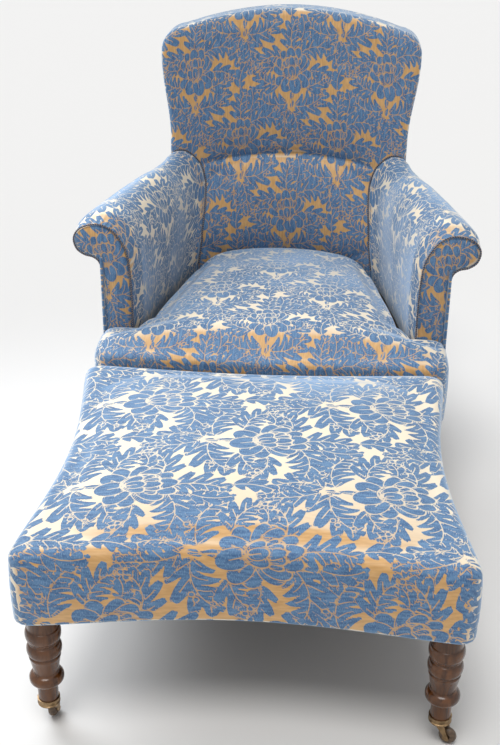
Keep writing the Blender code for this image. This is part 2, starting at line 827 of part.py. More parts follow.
def add_facing(name, side, parent):
    """Padded front of an arm, inside its piping."""
    outline = arm_front_outline()
    rim = inset(outline, FACING_INSET)
    dome = inset(outline, FACING_DOME_INSET)
    rows = [
        [(x, ARM_START - TOUCH, z) for x, z in rim],
        [(x, FACING_FRONT + FACING_DOME, z) for x, z in rim],
        [(x, FACING_FRONT, z) for x, z in dome],
    ]
    return add_loft(name, [flip(row, side) for row in rows], FABRIC, parent)


def add_front_piping(name, side, parent):
    """Corded seam around an arm's front, open at its foot."""
    line = inset(arm_front_outline(), PIPING)
    knots = [(x, ARM_START - PIPING - TOUCH, z) for x, z in line]
    knots[0] = (knots[0][0], knots[0][1], knots[0][2] + PIPING)
    knots[-1] = (knots[-1][0], knots[-1][1], knots[-1][2] + PIPING)
    return add_tube(name, flip(knots, side), PIPING, CORD, parent, 1)


def add_rear_piping(name, side, parent):
    """Corded seam where the inside arm meets the back."""
    off = PIPING + TOUCH * 5
    knots = []
    for index in range(1, 9):
        x, _, z = arm_skin(index, SEAM_SHARE)
        away = arm_away(x, z, 1.0)
        x += away.x * off
        z += away.y * off
        knots.append((x, back_face(x, z) - off - EASE * 0.5, z))
    return add_tube(name, flip(rounded_line(knots, 2), side), PIPING, CORD, parent, 1)


def add_outside_arm(name, side, parent, room):
    """Flat cover on the outer side of an arm."""
    left = EAR_HALF + TOUCH - PANEL_THICK
    right = EAR_HALF + TOUCH
    front = (left, right, RAIL_BASE, front_xz(0.0, PANEL_TOP_SHARES[0])[1])
    outer = rear_xz(PANEL_REAR_SHARE, 0.0)[0]
    rear = (outer - PANEL_THICK, outer, RAIL_BASE, rear_xz(0.0, PANEL_TOP_SHARES[1])[1])
    rows = []
    for y in (EAR_BACK + TOUCH * 2, ARM_START - TOUCH):
        rows.append([(x, y, z) for x, z in (
            (left, RAIL_BASE), (right, RAIL_BASE), (right, ARM_FOOT), (left, ARM_FOOT),
        )])
    rows += bar_rows(front, rear, (0.0, 1.0), PANEL_STEPS, LUMBAR_SINK)
    panel = add_loft(name, [flip(row, side) for row in rows], FABRIC, parent)
    boolean(panel, room)
    return panel


def add_outside_back(parent):
    """Thin cover on the rear of the back, inside the pad's wrap."""
    deep = BACK_THICK - TOUCH
    drawn = BACK_SKIN + EASE
    arch = back_arches([(drawn, deep)])[0]
    crest = [(x, z) for x, _, z in arch if z > mix(WAIST_Z, SHOULDER_Z, 0.8)]
    narrowed = 1 - drawn / SHOULDER_HALF
    bm = bmesh.new()
    columns = []
    for end, roof in crest:
        across = end / crest[0][0]
        heights = back_levels() + [mix(WAIST_Z, roof, 0.4), mix(WAIST_Z, roof, 0.75), roof]
        points = [back_point(across * back_half(z) * narrowed, deep, z) for z in heights]
        columns.append([bm.verts.new(point) for point in points])
    for near, far in zip(columns, columns[1:]):
        for i in range(len(near) - 1):
            bm.faces.new((near[i], far[i], far[i + 1], near[i + 1]))
    mesh = bpy.data.meshes.new("outside_back")
    bm.to_mesh(mesh)
    bm.free()
    panel = add_object("outside_back", mesh, FABRIC, parent)
    wall = panel.modifiers.new("Cover", "SOLIDIFY")
    wall.thickness = OUTBACK_THICK
    wall.offset = -1.0
    return panel


# Frame of the chair

def rail_rows(line, inward, height):
    """Rings of a rail whose outer face follows a line, with its thickness inward."""
    rows = []
    for x, y in line:
        inner = (x + inward[0] * RAIL_THICK, y + inward[1] * RAIL_THICK)
        rows.append([
            (x, y, RAIL_BASE), (*inner, RAIL_BASE),
            (*inner, RAIL_BASE + height), (x, y, RAIL_BASE + height),
        ])
    return rows


def add_front_rail(parent):
    """Bowed front seat rail between the leg blocks."""
    end = SEAT_HALF - SEAT_LEG_INSET - BLOCK / 2 - TOUCH
    lined = inset(seat_outline()[0], COVER + TOUCH)
    front = [point for point in lined if point[1] < SEAT_CORNER]
    rows = rail_rows(stretch(front, 0, end), (0, 1), RAIL_HEIGHT)
    return add_loft("front_rail", rows, BEECH, parent)


def side_rail_rects():
    """Front and rear (left, right, foot, top) of the side rails."""
    right = EAR_HALF - PANEL_THICK - TOUCH
    front = (right - RAIL_THICK, right, RAIL_BASE, RAIL_BASE + RAIL_HEIGHT)
    outer = POST_X + POST_WIDE / 2
    rear = (outer - RAIL_THICK, outer, RAIL_BASE, RAIL_BASE + RAIL_HEIGHT)
    return front, rear


def add_side_rail(name, side, parent, grow=0.0, cutter=False):
    """Side seat rail, straight beside the leg block and curved along the arm."""
    front, rear = side_rail_rects()
    start = SEAT_LEG_INSET + BLOCK / 2 + TOUCH
    reach = BACK_SKIN + EASE - RAIL_SHY + grow
    ahead = (start - SEAT_CORNER) / (EAR_BACK - SEAT_CORNER)
    right = mix(SEAT_HALF, EAR_HALF, ahead) - COVER - TOUCH
    left = right - RAIL_THICK
    foot, top = front[2:]
    rows = [[
        (left - grow, start, foot - grow), (right + grow, start, foot - grow),
        (right + grow, start, top + grow), (left - grow, start, top + grow),
    ]]
    rows += bar_rows(front, rear, (0.0, 1.0), RAIL_STEPS, reach, grow)
    return add_loft(name, [flip(row, side) for row in rows], BEECH, parent, cutter)


def add_arm_frame(key, side, back, parent):
    """Stump and rail of an arm, and the rail's hole in the back pad."""
    stump = section_rect(front_xz, STUMP_SHARES)
    stump_rear = section_rect(rear_xz, STUMP_REAR_SHARES)
    end = STUMP_DEEP / (back_face(REAR_INNER, ARM_FOOT) - ARM_START)
    rows = [flip(row, side) for row in bar_rows(stump, stump_rear, (0.0, end), 2)]
    add_loft("arm_stump_" + key, rows, BEECH, parent)
    front = section_rect(front_xz, ARM_RAIL_FRONT_SHARES)
    rear = section_rect(rear_xz, ARM_RAIL_REAR_SHARES)
    reach = BACK_SKIN + EASE - RAIL_SHY
    rows = [flip(row, side) for row in bar_rows(front, rear, (0.0, 1.0), RAIL_STEPS + 1, reach)]
    add_loft("arm_rail_" + key, rows, BEECH, parent)
    rows = bar_rows(front, rear, (0.0, RAIL_ROOM_SHARE), RAIL_STEPS + 1, reach, TOUCH)
    rows = [flip(row, side) for row in rows]
    boolean(back, add_loft("arm_rail_room_" + key, rows, BEECH, parent, cutter=True))


def add_back_rail(parent):
    """Curved rear seat rail between the posts."""
    near = BACK_SKIN + EASE
    far = near + FRAME_DEEP
    end = POST_X - POST_WIDE / 2 - TOUCH
    low = RAIL_BASE
    high = RAIL_BASE + RAIL_HEIGHT
    rows = []
    for i in range(9):
        x = mix(-end, end, i / 8)
        rows.append([
            back_point(x, near, low), back_point(x, far, low),
            back_point(x, far, high), back_point(x, near, high),
        ])
    return add_loft("back_rail", rows, BEECH, parent)


def crest_roof(x):
    """Top of the crest rail under the back pad's wrap."""
    return crest_height(x) - BACK_SKIN - EASE * 2.5


def add_crest_rail(parent):
    """Arched top rail over the posts."""
    near = BACK_SKIN + EASE
    far = near + FRAME_DEEP
    end = POST_X + POST_WIDE / 2
    rows = []
    for i in range(9):
        x = mix(-end, end, i / 8)
        high = crest_roof(x)
        low = high - CREST_TALL
        rows.append([
            back_point(x, near, low), back_point(x, far, low),
            back_point(x, far, high), back_point(x, near, high),
        ])
    return add_loft("crest_rail", rows, BEECH, parent)


def add_back_post(name, side, parent):
    """Rear leg and back upright in one piece, raked both ways."""
    near = BACK_SKIN + EASE
    far = near + FRAME_DEEP
    rows = []
    half = FOOT_SIDE / 2
    for z, share in ((0.0, 0.0), (KNEE_Z, 0.5)):
        centre = mix(FOOT_X, POST_X, share)
        front = mix(FOOT_Y, back_face(POST_X, RAIL_BASE) + near, share)
        deep = mix(FOOT_SIDE, FRAME_DEEP, share)
        rows.append([
            (centre - half, front, z), (centre + half, front, z),
            (centre + half, front + deep, z), (centre - half, front + deep, z),
        ])
    left = POST_X - POST_WIDE / 2
    right = POST_X + POST_WIDE / 2
    top = crest_roof(right) - CREST_TALL - TOUCH
    for z in back_levels() + [mix(WAIST_Z, top, 0.5), top]:
        rows.append([
            back_point(left, near, z), back_point(right, near, z),
            back_point(right, far, z), back_point(left, far, z),
        ])
    return add_loft(name, [flip(row, side) for row in rows], BEECH, parent)


# Legs and castors

def leg_profile():
    """Turned leg with the castor stem's hole in its foot, run down the outer side."""
    tall = RAIL_BASE - LEG_FOOT
    turned = [(LEG_RADIUS * r, LEG_FOOT + tall * z) for r, z in LEG_SHARES]
    top = [(0.0, RAIL_BASE + BLOCK_SINK), (turned[-1][0], RAIL_BASE + BLOCK_SINK)]
    hole = [(BORE, LEG_FOOT), (BORE, LEG_FOOT + BORE_DEEP), (0.0, LEG_FOOT + BORE_DEEP)]
    return top + turned[::-1] + hole


def add_leg(name, place, rail_height, parent):
    """A turned leg under its square block, which the rails are jointed to."""
    leg = add_screw(name, leg_profile(), LEG_STEPS, WALNUT, parent)
    leg.location = (*place, 0.0)
    low = (-BLOCK / 2, -BLOCK / 2, RAIL_BASE)
    high = (BLOCK / 2, BLOCK / 2, RAIL_BASE + rail_height)
    block = add_box(name + "_block", low, high, WALNUT, parent, cutter=True)
    block.location = (*place, 0.0)
    bevel = block.modifiers.new("Edges", "BEVEL")
    bevel.width = BLOCK_ROUND
    bevel.segments = 2
    bevel.limit_method = "WEIGHT"
    weights = block.data.attributes.new("bevel_weight_edge", "FLOAT", "EDGE")
    for edge in block.data.edges:
        first, second = (block.data.vertices[i].co for i in edge.vertices)
        upright = abs(first.z - second.z) > BLOCK_SINK
        weights.data[edge.index].value = 1.0 if upright else 0.0
    boolean(leg, block, "UNION")
    return leg


def cheek_outline():
    """Side of a castor's fork in y and z, from its crown down to the axle."""
    crown = crown_floor() + CROWN_THICK / 2
    ring = arc((TRAIL, WHEEL_RADIUS), EYE, -30, -210, 5)
    return [(CROWN_RADIUS * 0.9, crown)] + ring + [(-CROWN_RADIUS * 0.55, crown)]


def crown_floor():
    """Underside of the fork's round crown."""
    return LEG_FOOT - TOUCH - CUP_FLOOR - SWIVEL_GAP - CROWN_THICK


def fork_mesh():
    """Crown, stem, two cheeks and axle of a castor's fork, joined."""
    floor = crown_floor()
    inner = WHEEL_HALF + CHEEK_GAP
    pieces = []
    bm = bmesh.new()
    place = Matrix.Translation((0.0, 0.0, floor + CROWN_THICK / 2))
    bmesh.ops.create_cone(bm, cap_ends=True, segments=12, radius1=CROWN_RADIUS,
                          radius2=CROWN_RADIUS, depth=CROWN_THICK, matrix=place)
    pieces.append(mesh_from("fork_crown", bm))
    bm = bmesh.new()
    stem_low = floor + CROWN_THICK / 2
    stem_top = LEG_FOOT + BORE_DEEP - SWIVEL_GAP
    place = Matrix.Translation((0.0, 0.0, (stem_low + stem_top) / 2))
    bmesh.ops.create_cone(bm, cap_ends=True, segments=10, radius1=BORE - PIVOT_GAP,
                          radius2=BORE - PIVOT_GAP, depth=stem_top - stem_low, matrix=place)
    pieces.append(mesh_from("fork_stem", bm))
    for side in (-1, 1):
        rows = [
            [(side * x, y, z) for y, z in cheek_outline()] for x in (inner, inner + CHEEK)
        ]
        pieces.append(loft_mesh("fork_cheek", rows))
    bm = bmesh.new()
    turn = Matrix.Translation((0.0, TRAIL, WHEEL_RADIUS)) @ Matrix.Rotation(math.pi / 2, 4, "Y")
    length = 2 * (inner + CHEEK) - TOUCH
    bmesh.ops.create_cone(bm, cap_ends=True, segments=10, radius1=AXLE, radius2=AXLE,
                          depth=length, matrix=turn)
    pieces.append(mesh_from("fork_axle", bm))
    base = add_object("fork_pattern", pieces[0], BRASS, cutter=True)
    for number, piece in enumerate(pieces[1:]):
        other = add_object("fork_piece_" + str(number), piece, BRASS, cutter=True)
        boolean(base, other, "UNION")
    evaluated = base.evaluated_get(bpy.context.evaluated_depsgraph_get())
    return bpy.data.meshes.new_from_object(evaluated)


def cup_profile():
    """Brass cup on the leg's foot, a closed ring run down its outer side."""
    base = LEG_FOOT - TOUCH - CUP_FLOOR
    inner = CUP_RADIUS - CUP_WALL
    top = base + CUP_FLOOR + CUP_RISE
    return [
        (CUP_RADIUS, top), (CUP_RADIUS, base), (BORE, base), (BORE, base + CUP_FLOOR),
        (inner, base + CUP_FLOOR), (inner, top),
    ]


def wheel_profile():
    """Bowl-shaped wheel with its bore, a closed ring run down its outer side."""
    bore = AXLE + PIVOT_GAP
    shares = ((0.55, 1.0), (0.86, 0.86), (1.0, 0.35), (1.0, -0.35), (0.86, -0.86), (0.55, -1.0))
    rim = [(WHEEL_RADIUS * r, WHEEL_HALF * z) for r, z in shares]
    return [(bore, WHEEL_HALF * 0.96)] + rim + [(bore, -WHEEL_HALF * 0.96)]


def add_castor(name, place, turn, parent, meshes):
    """Cup, swivelling fork and wheel under one leg."""
    swivel = add_empty(name + "_axis", (*place, 0.0), turn, parent)
    add_object(name + "_cup", meshes["cup"], BRASS, swivel)
    add_object(name + "_fork", meshes["fork"], BRASS, swivel)
    wheel = add_object(name + "_wheel", meshes["wheel"], BOWL, swivel)
    wheel.location = (0.0, TRAIL, WHEEL_RADIUS)
    wheel.rotation_euler = (0.0, math.pi / 2, 0.0)


def castor_meshes():
    """Meshes that all the castors share."""
    found = {"fork": fork_mesh()}
    for key, profile in (("cup", cup_profile()), ("wheel", wheel_profile())):
        pattern = add_screw(key + "_pattern", profile, CASTOR_STEPS, BRASS, None, closed=True)
        depsgraph = bpy.context.evaluated_depsgraph_get()
        found[key] = bpy.data.meshes.new_from_object(pattern.evaluated_get(depsgraph))
        bpy.data.objects.remove(pattern)
    for mesh, finish in ((found["fork"], BRASS), (found["cup"], BRASS), (found["wheel"], BOWL)):
        mesh.materials.clear()
        mesh.materials.append(new_material(mesh.name + "_finish", *finish))
        mesh.set_sharp_from_angle(angle=math.radians(40))
    return found


# Webbing, springs and dust covers

def add_webbing(name, across, along, place, parent):
    """Crossed webbing in one sheet; across and along are the straps' edges in shares."""
    bm = bmesh.new()
    grid = [[bm.verts.new(place(u, v)) for u in across] for v in along]
    for j in range(len(along) - 1):
        for i in range(len(across) - 1):
            if i % 2 == 1 or j % 2 == 1:
                corners = (grid[j][i], grid[j][i + 1], grid[j + 1][i + 1], grid[j + 1][i])
                bm.faces.new(corners)
    loose = [vert for vert in bm.verts if not vert.link_faces]
    bmesh.ops.delete(bm, geom=loose, context="VERTS")
    bmesh.ops.recalc_face_normals(bm, faces=bm.faces)
    mesh = bpy.data.meshes.new(name)
    bm.to_mesh(mesh)
    bm.free()
    obj = add_object(name, mesh, JUTE, parent)
    wall = obj.modifiers.new("Web", "SOLIDIFY")
    wall.thickness = WEB_THICK
    wall.offset = 0.0
    return obj


def strap_edges(count, reach, width):
    """Edges of evenly spaced straps between -reach and reach, with the open ends."""
    edges = [-reach]
    for i in range(count):
        centre = mix(-reach, reach, (i + 0.5) / count)
        edges += [centre - width / 2, centre + width / 2]
    return edges + [reach]


def spring_path(places, floor_z, roof_z):
    """One wire through all the coils, lashed from top to top and from foot to foot."""
    path = []
    last = len(places) - 1
    for index, (x, y) in enumerate(places):
        here = Vector((x, y))
        back = here - Vector(places[index - 1 if index else index + 1])
        on = Vector(places[index + 1 if index < last else index - 1]) - here
        start = math.atan2(-back.y, -back.x) if index else math.atan2(back.y, back.x)
        end = math.atan2(on.y, on.x) if index < last else math.atan2(-on.y, -on.x)
        sweep = 2 * math.pi * COIL_TURNS + (end - start) % (2 * math.pi)
        steps = COIL_TURNS * COIL_STEPS + COIL_STEPS // 2
        rising = index % 2 == 0
        for k in range(steps + 1):
            share = k / steps
            angle = start + sweep * share
            radius = COIL_RADIUS * mix(COIL_WAIST_SHARE, 1.0, abs(2 * share - 1))
            height = share if rising else 1 - share
            path.append((
                x + radius * math.cos(angle), y + radius * math.sin(angle),
                mix(floor_z, roof_z, height),
            ))
    return path


def spring_places(columns, rows, width, depth, middle_y):
    """Centres of the coils, row by row and back and forth."""
    places = []
    for j in range(rows):
        y = middle_y + depth * ((j + 0.5) / rows - 0.5)
        line = [(width * ((i + 0.5) / columns - 0.5), y) for i in range(columns)]
        places += line if j % 2 == 0 else line[::-1]
    return places


def seat_web_point(u, v):
    """A place on the seat's webbing: u across from -1 to 1, v from front to back."""
    front, rear = side_rail_rects()
    lap = RAIL_THICK - WEB_LAP
    x_here, y_here, _ = arm_place(
        (front[0] + WEB_LAP, RAIL_BASE), (rear[0] + WEB_LAP, RAIL_BASE), clamp(v))
    x = u * x_here
    start = seat_front(x) + COVER + TOUCH + lap
    end = back_face(x, RAIL_BASE) + BACK_SKIN + EASE + WEB_LAP
    return (x, mix(start, end, v), RAIL_BASE - TOUCH - WEB_THICK / 2)


def add_seat_inside(parent):
    """Webbing, springs and dust cover under the seat."""
    across = strap_edges(5, WEB_SPAN_SHARE, WEB_WIDE / FRONT_INNER)
    across[0], across[-1] = -WEB_END_SHARE, WEB_END_SHARE
    edges = strap_edges(4, WEB_SPAN_SHARE, 2 * WEB_WIDE / BACK_DEPTH)
    along = [WEB_MIDDLE_SHARE + edge * (1 - WEB_MIDDLE_SHARE) for edge in edges]
    add_webbing("seat_webbing", across, [0.0] + along[1:-1] + [1.0], seat_web_point, parent)
    places = spring_places(3, 3, SPRINGS_WIDE, SPRINGS_DEEP, SEAT_SPRINGS_Y)
    roof = RAIL_BASE + RAIL_HEIGHT + COVER - WIRE
    path = spring_path(places, RAIL_BASE + WIRE, roof)
    add_tube("seat_springs", path, WIRE, STEEL, parent)
    right = [seat_web_point(u, v)[:2] for u, v in DUST_SHARES]
    outline = right + [(-x, y) for x, y in reversed(right[:-1])]
    floor_z = RAIL_BASE - TOUCH * 2 - WEB_THICK - DUST_THICK
    add_slab("chair_dust_cover", outline, floor_z, floor_z + DUST_THICK, LINING, parent)


def add_stool_inside(parent):
    """Webbing, springs and dust cover under the stool."""
    half_x = STOOL_HALF - STOOL_SIDE_HOLLOW - COVER - TOUCH - RAIL_THICK + WEB_LAP
    half_y = STOOL_DEPTH / 2 - STOOL_FRONT_HOLLOW - COVER - TOUCH - RAIL_THICK + WEB_LAP
    z = RAIL_BASE - TOUCH - WEB_THICK / 2
    across = strap_edges(5, half_x, WEB_WIDE)
    along = strap_edges(5, half_y, WEB_WIDE)
    add_webbing("stool_webbing", across, along, lambda u, v: (u, v, z), parent)
    places = spring_places(3, 3, STOOL_SPRINGS_WIDE, SPRINGS_DEEP, 0.0)
    roof = RAIL_BASE + STOOL_RAIL_HEIGHT + COVER - WIRE
    path = spring_path(places, RAIL_BASE + WIRE, roof)
    add_tube("stool_springs", path, WIRE, STEEL, parent)
    notch = BLOCK
    corner = [(half_x, notch - half_y), (half_x, half_y - notch), (half_x - notch, half_y)]
    corner += [(notch - half_x, half_y), (-half_x, half_y - notch), (-half_x, notch - half_y)]
    corner += [(notch - half_x, -half_y), (half_x - notch, -half_y)]
    floor_z = RAIL_BASE - TOUCH * 2 - WEB_THICK - DUST_THICK
    add_slab("stool_dust_cover", corner, floor_z, floor_z + DUST_THICK, LINING, parent)


# Stool

def stool_leg_places():
    """Plan places of the stool's legs."""
    x = STOOL_HALF - STOOL_LEG_INSET_X
    y = STOOL_DEPTH / 2 - STOOL_LEG_INSET_Y
    return {
        "front_left": (-x, -y), "front_right": (x, -y), "rear_left": (-x, y), "rear_right": (x, y),
    }


def add_stool_rail(name, outline, inward, parent):
    """A rail inside the side of the stool that it is drawn in from."""
    axis = 0 if inward[0] == 0 else 1
    half = STOOL_DEPTH / 2 if axis else STOOL_HALF
    depth = STOOL_HALF if axis else STOOL_DEPTH / 2
    lined = inset(outline, COVER + TOUCH)
    side = [
        point for point in lined
        if -point[1 - axis] * inward[1 - axis] > depth / 2 and abs(point[axis]) < half
    ]
    leg = STOOL_LEG_INSET_Y if axis else STOOL_LEG_INSET_X
    reach = half - leg - BLOCK / 2 - TOUCH
    rows = rail_rows(stretch(side, axis, reach), inward, STOOL_RAIL_HEIGHT)
    return add_loft(name, rows, BEECH, parent)


def add_stool(parent, meshes):
    """The footstool, from its castors to its cover."""
    outline = stool_outline()
    roof_z = RAIL_BASE + STOOL_RAIL_HEIGHT + COVER
    floors = [RAIL_BASE] * len(outline)
    add_pad("stool_pad", outline, floors, roof_z, STOOL_EDGE, STOOL_CROWN, (0.0, 0.0), parent)
    add_stool_rail("stool_front_rail", outline, (0, 1), parent)
    add_stool_rail("stool_rear_rail", outline, (0, -1), parent)
    add_stool_rail("stool_left_rail", outline, (1, 0), parent)
    add_stool_rail("stool_right_rail", outline, (-1, 0), parent)
    turns = {"front_left": -12, "front_right": 246, "rear_left": 20, "rear_right": -25}
    for key, place in stool_leg_places().items():
        add_leg("stool_leg_" + key, place, STOOL_RAIL_HEIGHT, parent)
        add_castor("stool_castor_" + key, place, math.radians(turns[key]), parent, meshes)
    add_stool_inside(parent)


# Chair

def add_chair(parent, meshes):
    """The armchair, from its castors to its covers."""
    room = add_back_room(parent)
    back = add_back_pad(parent)
    add_lumbar_pad(parent, room)
    add_seat_pad(parent, room)
    add_front_rail(parent)
    add_back_rail(parent)
    add_crest_rail(parent)
    add_outside_back(parent)
    leg_x = SEAT_HALF - SEAT_LEG_INSET
    turns = {"left": 170, "right": 150}
    for key, side in (("left", -1), ("right", 1)):
        add_side_rail("side_rail_" + key, side, parent)
        hole = add_side_rail("side_rail_room_" + key, side, parent, grow=TOUCH, cutter=True)
        boolean(back, hole)
        add_back_post("back_post_" + key, side, parent)
        add_arm_frame(key, side, back, parent)
        add_inside_arm("inside_arm_" + key, side, parent, room)
        add_outside_arm("outside_arm_" + key, side, parent, room)
        add_facing("arm_facing_" + key, side, parent)
        add_front_piping("front_piping_" + key, side, parent)
        add_rear_piping("rear_piping_" + key, side, parent)
        place = (leg_x * side, SEAT_LEG_INSET)
        add_leg("front_leg_" + key, place, RAIL_HEIGHT, parent)
        turn = math.radians(turns[key])
        add_castor("chair_castor_" + key, place, turn, parent, meshes)
    add_seat_inside(parent)


def main():
    """Stand the chair and the stool around the middle of their common floor plan."""
    half = STOOL_DEPTH / 2
    spread = half * math.cos(STOOL_TURN) + (STOOL_HALF - STOOL_CORNER) * math.sin(STOOL_TURN)
    front = -STOOL_GAP - half - spread
    back = back_face(0.0, CREST_Z - CREST_CORNER) + BACK_THICK
    middle = (front + back) / 2
    chair = add_empty("chair_place", (0.0, -middle, 0.0))
    stool_y = -middle - STOOL_GAP - half
    stool = add_empty("stool_place", (STOOL_SHIFT, stool_y, 0.0), STOOL_TURN)
    meshes = castor_meshes()
    add_chair(chair, meshes)
    add_stool(stool, meshes)


main()
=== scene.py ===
"""Looks of the tub armchair and its footstool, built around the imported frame.

Metres, +Z up, floor at z = 0, and the chair faces -Y. The damask is drawn in millimetres.
Covers are shaped about the middle of their body and then moved to its place.
"""

import json
import math

import bmesh
import bpy
import numpy as np
from mathutils import Matrix, Vector
from mathutils.geometry import delaunay_2d_cdt
from mathutils.kdtree import KDTree

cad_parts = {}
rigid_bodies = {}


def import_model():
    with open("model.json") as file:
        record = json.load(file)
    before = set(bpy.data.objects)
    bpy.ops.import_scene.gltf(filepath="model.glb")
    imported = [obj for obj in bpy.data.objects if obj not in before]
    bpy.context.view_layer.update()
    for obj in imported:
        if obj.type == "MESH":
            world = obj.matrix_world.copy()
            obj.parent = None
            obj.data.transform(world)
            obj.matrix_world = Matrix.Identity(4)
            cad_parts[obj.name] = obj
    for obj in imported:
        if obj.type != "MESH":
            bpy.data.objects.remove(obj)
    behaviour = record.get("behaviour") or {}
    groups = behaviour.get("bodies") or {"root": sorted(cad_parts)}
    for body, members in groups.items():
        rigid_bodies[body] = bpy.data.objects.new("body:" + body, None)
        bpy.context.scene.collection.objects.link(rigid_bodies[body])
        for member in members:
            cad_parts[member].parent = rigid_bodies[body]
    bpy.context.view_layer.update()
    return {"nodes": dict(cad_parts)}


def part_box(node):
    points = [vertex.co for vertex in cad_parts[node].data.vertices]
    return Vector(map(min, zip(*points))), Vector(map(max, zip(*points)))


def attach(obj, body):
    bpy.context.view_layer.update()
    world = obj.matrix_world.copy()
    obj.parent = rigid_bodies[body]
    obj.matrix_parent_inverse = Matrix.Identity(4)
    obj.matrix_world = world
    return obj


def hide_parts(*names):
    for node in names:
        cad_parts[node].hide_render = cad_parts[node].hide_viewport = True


for leftover in list(bpy.data.objects):
    bpy.data.objects.remove(leftover, do_unlink=True)
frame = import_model()

# Camera, where the photograph was taken from
CAMERA_PLACE = Vector((0.137, -2.2257, 1.409))
CAMERA_YAW = math.radians(-4.65)
CAMERA_PITCH = math.radians(26.0)
CAMERA_ROLL = math.radians(0.47)
CAMERA_LENS = 54.4
SENSOR = 36.0

# Light
SKY_STRENGTH = 0.36
SUNS = (
    # name, colour, strength, then azimuth, elevation and spread in degrees
    ("key", (1.0, 0.98, 0.95), 1.45, 14.0, 72.0, 28.0),
    ("rim", (0.96, 0.98, 1.0), 1.15, 150.0, 50.0, 50.0),
)
WINDOW_COLOUR = (0.94, 0.97, 1.0)
WINDOW_POWER = 4.6
WINDOW_SIZE = 1.0
WINDOW_SPREAD = math.radians(90.0)
WINDOW_PLACE = Vector((-1.25, 0.30, 1.45))
WINDOW_AIM = Vector((-0.25, -0.30, 0.45))
FLOOR_COLOUR = (0.83, 0.83, 0.83)
FLOOR_SEEN = (0.885, 0.885, 0.885)
FLOOR_HALF = 40.0

# Steps of the meshes
SPACING = 0.0032
STOOL_SPACING = SPACING * 1.06
PLAIN_SPACING = 0.0045
CORD_STEP = 0.0011

# Places
SEAT_BOW = 0.012
CHAIR_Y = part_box("seat_pad")[0].y + SEAT_BOW
STOOL_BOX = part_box("stool_pad")
STOOL_MIDDLE = (STOOL_BOX[0] + STOOL_BOX[1]) / 2
TURNS = {"chair": 0.0, "stool": math.radians(1.5)}
MIDDLES = {"chair": (0.0, CHAIR_Y, 0.0), "stool": (STOOL_MIDDLE.x, STOOL_MIDDLE.y, 0.0)}
RAIL_BASE = 0.236
CLEAR = 0.0003
MIRROR = np.array([-1.0, 1.0])

# All covers
RIPPLE = 0.0012             # height of a cover's unevenness
BROW_REACH = 0.018          # of the smoothing where a face turns down into its border
EDGE_ROUND = 0.022
HEM = ((-0.004, 0.0), (-0.0065, 0.003), (-0.0065, 0.012))       # outward, upward

# Back
BACK_DEPTH = 0.665
BACK_RISE = 0.590
BACK_BASE_Z = 0.400
BACK_LEAN = 0.077
BACK_CURL = 0.042
BACK_HOLLOW = 0.100
BACK_HOLLOW_LOW = 0.170
TUB_TOP_Z = 0.620
BACK_REF = 0.310
BACK_SKIN = 0.022
BACK_THICK = 0.082
BACK_FLOOR = 0.2375
CREST_Z = 0.989
CREST_FALL = 0.037
CREST_CORNER = 0.050
CREST_GAP = 0.003
SHOULDER_Z = 0.895
SHOULDER_HALF = 0.322
WAIST_Z = 0.690
WAIST_HALF = 0.299
BASE_HALF = 0.295
BACK_ROUND = 0.024
BACK_ROUND_SHARE = 0.8
BACK_PUFF = 0.004
PUFF_Z = 0.640
PUFF_REACH = 0.100
BACK_TUCKS = (
    # inward from the outline, and behind the face
    (0.002, 0.082), (0.012, 0.083), (0.021, 0.082), (0.021, 0.074), (0.021, 0.045), (0.023, 0.024),
)
TUCK_STEP = 0.009
TUCK_RISE = 0.0005
LINING_INSET = 0.030
LINING_RISE = 0.002

# Outside back
REAR_INSET = BACK_SKIN + 0.0015
REAR_SINK = 0.001
REAR_TALL = 0.750
REAR_THICK = 0.0045

# Lumbar roll
LUMBAR_HALF = 0.240
LUMBAR_Z = 0.500
LUMBAR_UP = 0.132
LUMBAR_FALL = 0.020
LUMBAR_DOWN = 0.125
LUMBAR_DEEP = 0.034
CREASE_DEEP = 0.010
CREASE_RISE = 0.005
CREASE_WIDE = 0.009
CREASE_FADE = 0.070
DIP_WIDE = 0.045

# Seat
SEAT_HALF = 0.380
SEAT_CORNER = 0.050
SEAT_REAR_CORNER = 0.030
SEAT_EDGE = 0.382
SEAT_CROWN = 0.043
SEAT_HEART = 0.130
SEAT_SAG = 0.0025
SEAT_FLOOR = 0.318          # of the border beside the arms and along the back
SEAT_ROOF = 0.342           # of the hollow under the cover
SEAT_ARM_GAP = 0.036        # from the seat's brow to the arm's foot
SEAT_REAR_SHARE = 0.72      # of the border's round behind the ears
SEAT_SIDE_SHARES = (0.06, 0.14, 0.25, 0.42, 0.58, 0.74, 0.86)
ARM_DIP = 0.013
FRONT_DIP = 0.009
EAR_HALF = 0.386
EAR_BACK = 0.1365
EAR_CORNER = 0.012
EAR_NOTCH = 0.026
EAR_FLOOR = 0.337
EAR_CLEAR = 0.004
EAR_TIGHT = 0.030
EAR_SINK = 0.0022           # of the outer arm's cover, where it runs in under the ear
EAR_TUCKS = (0.030, 0.022, 0.014, 0.006)

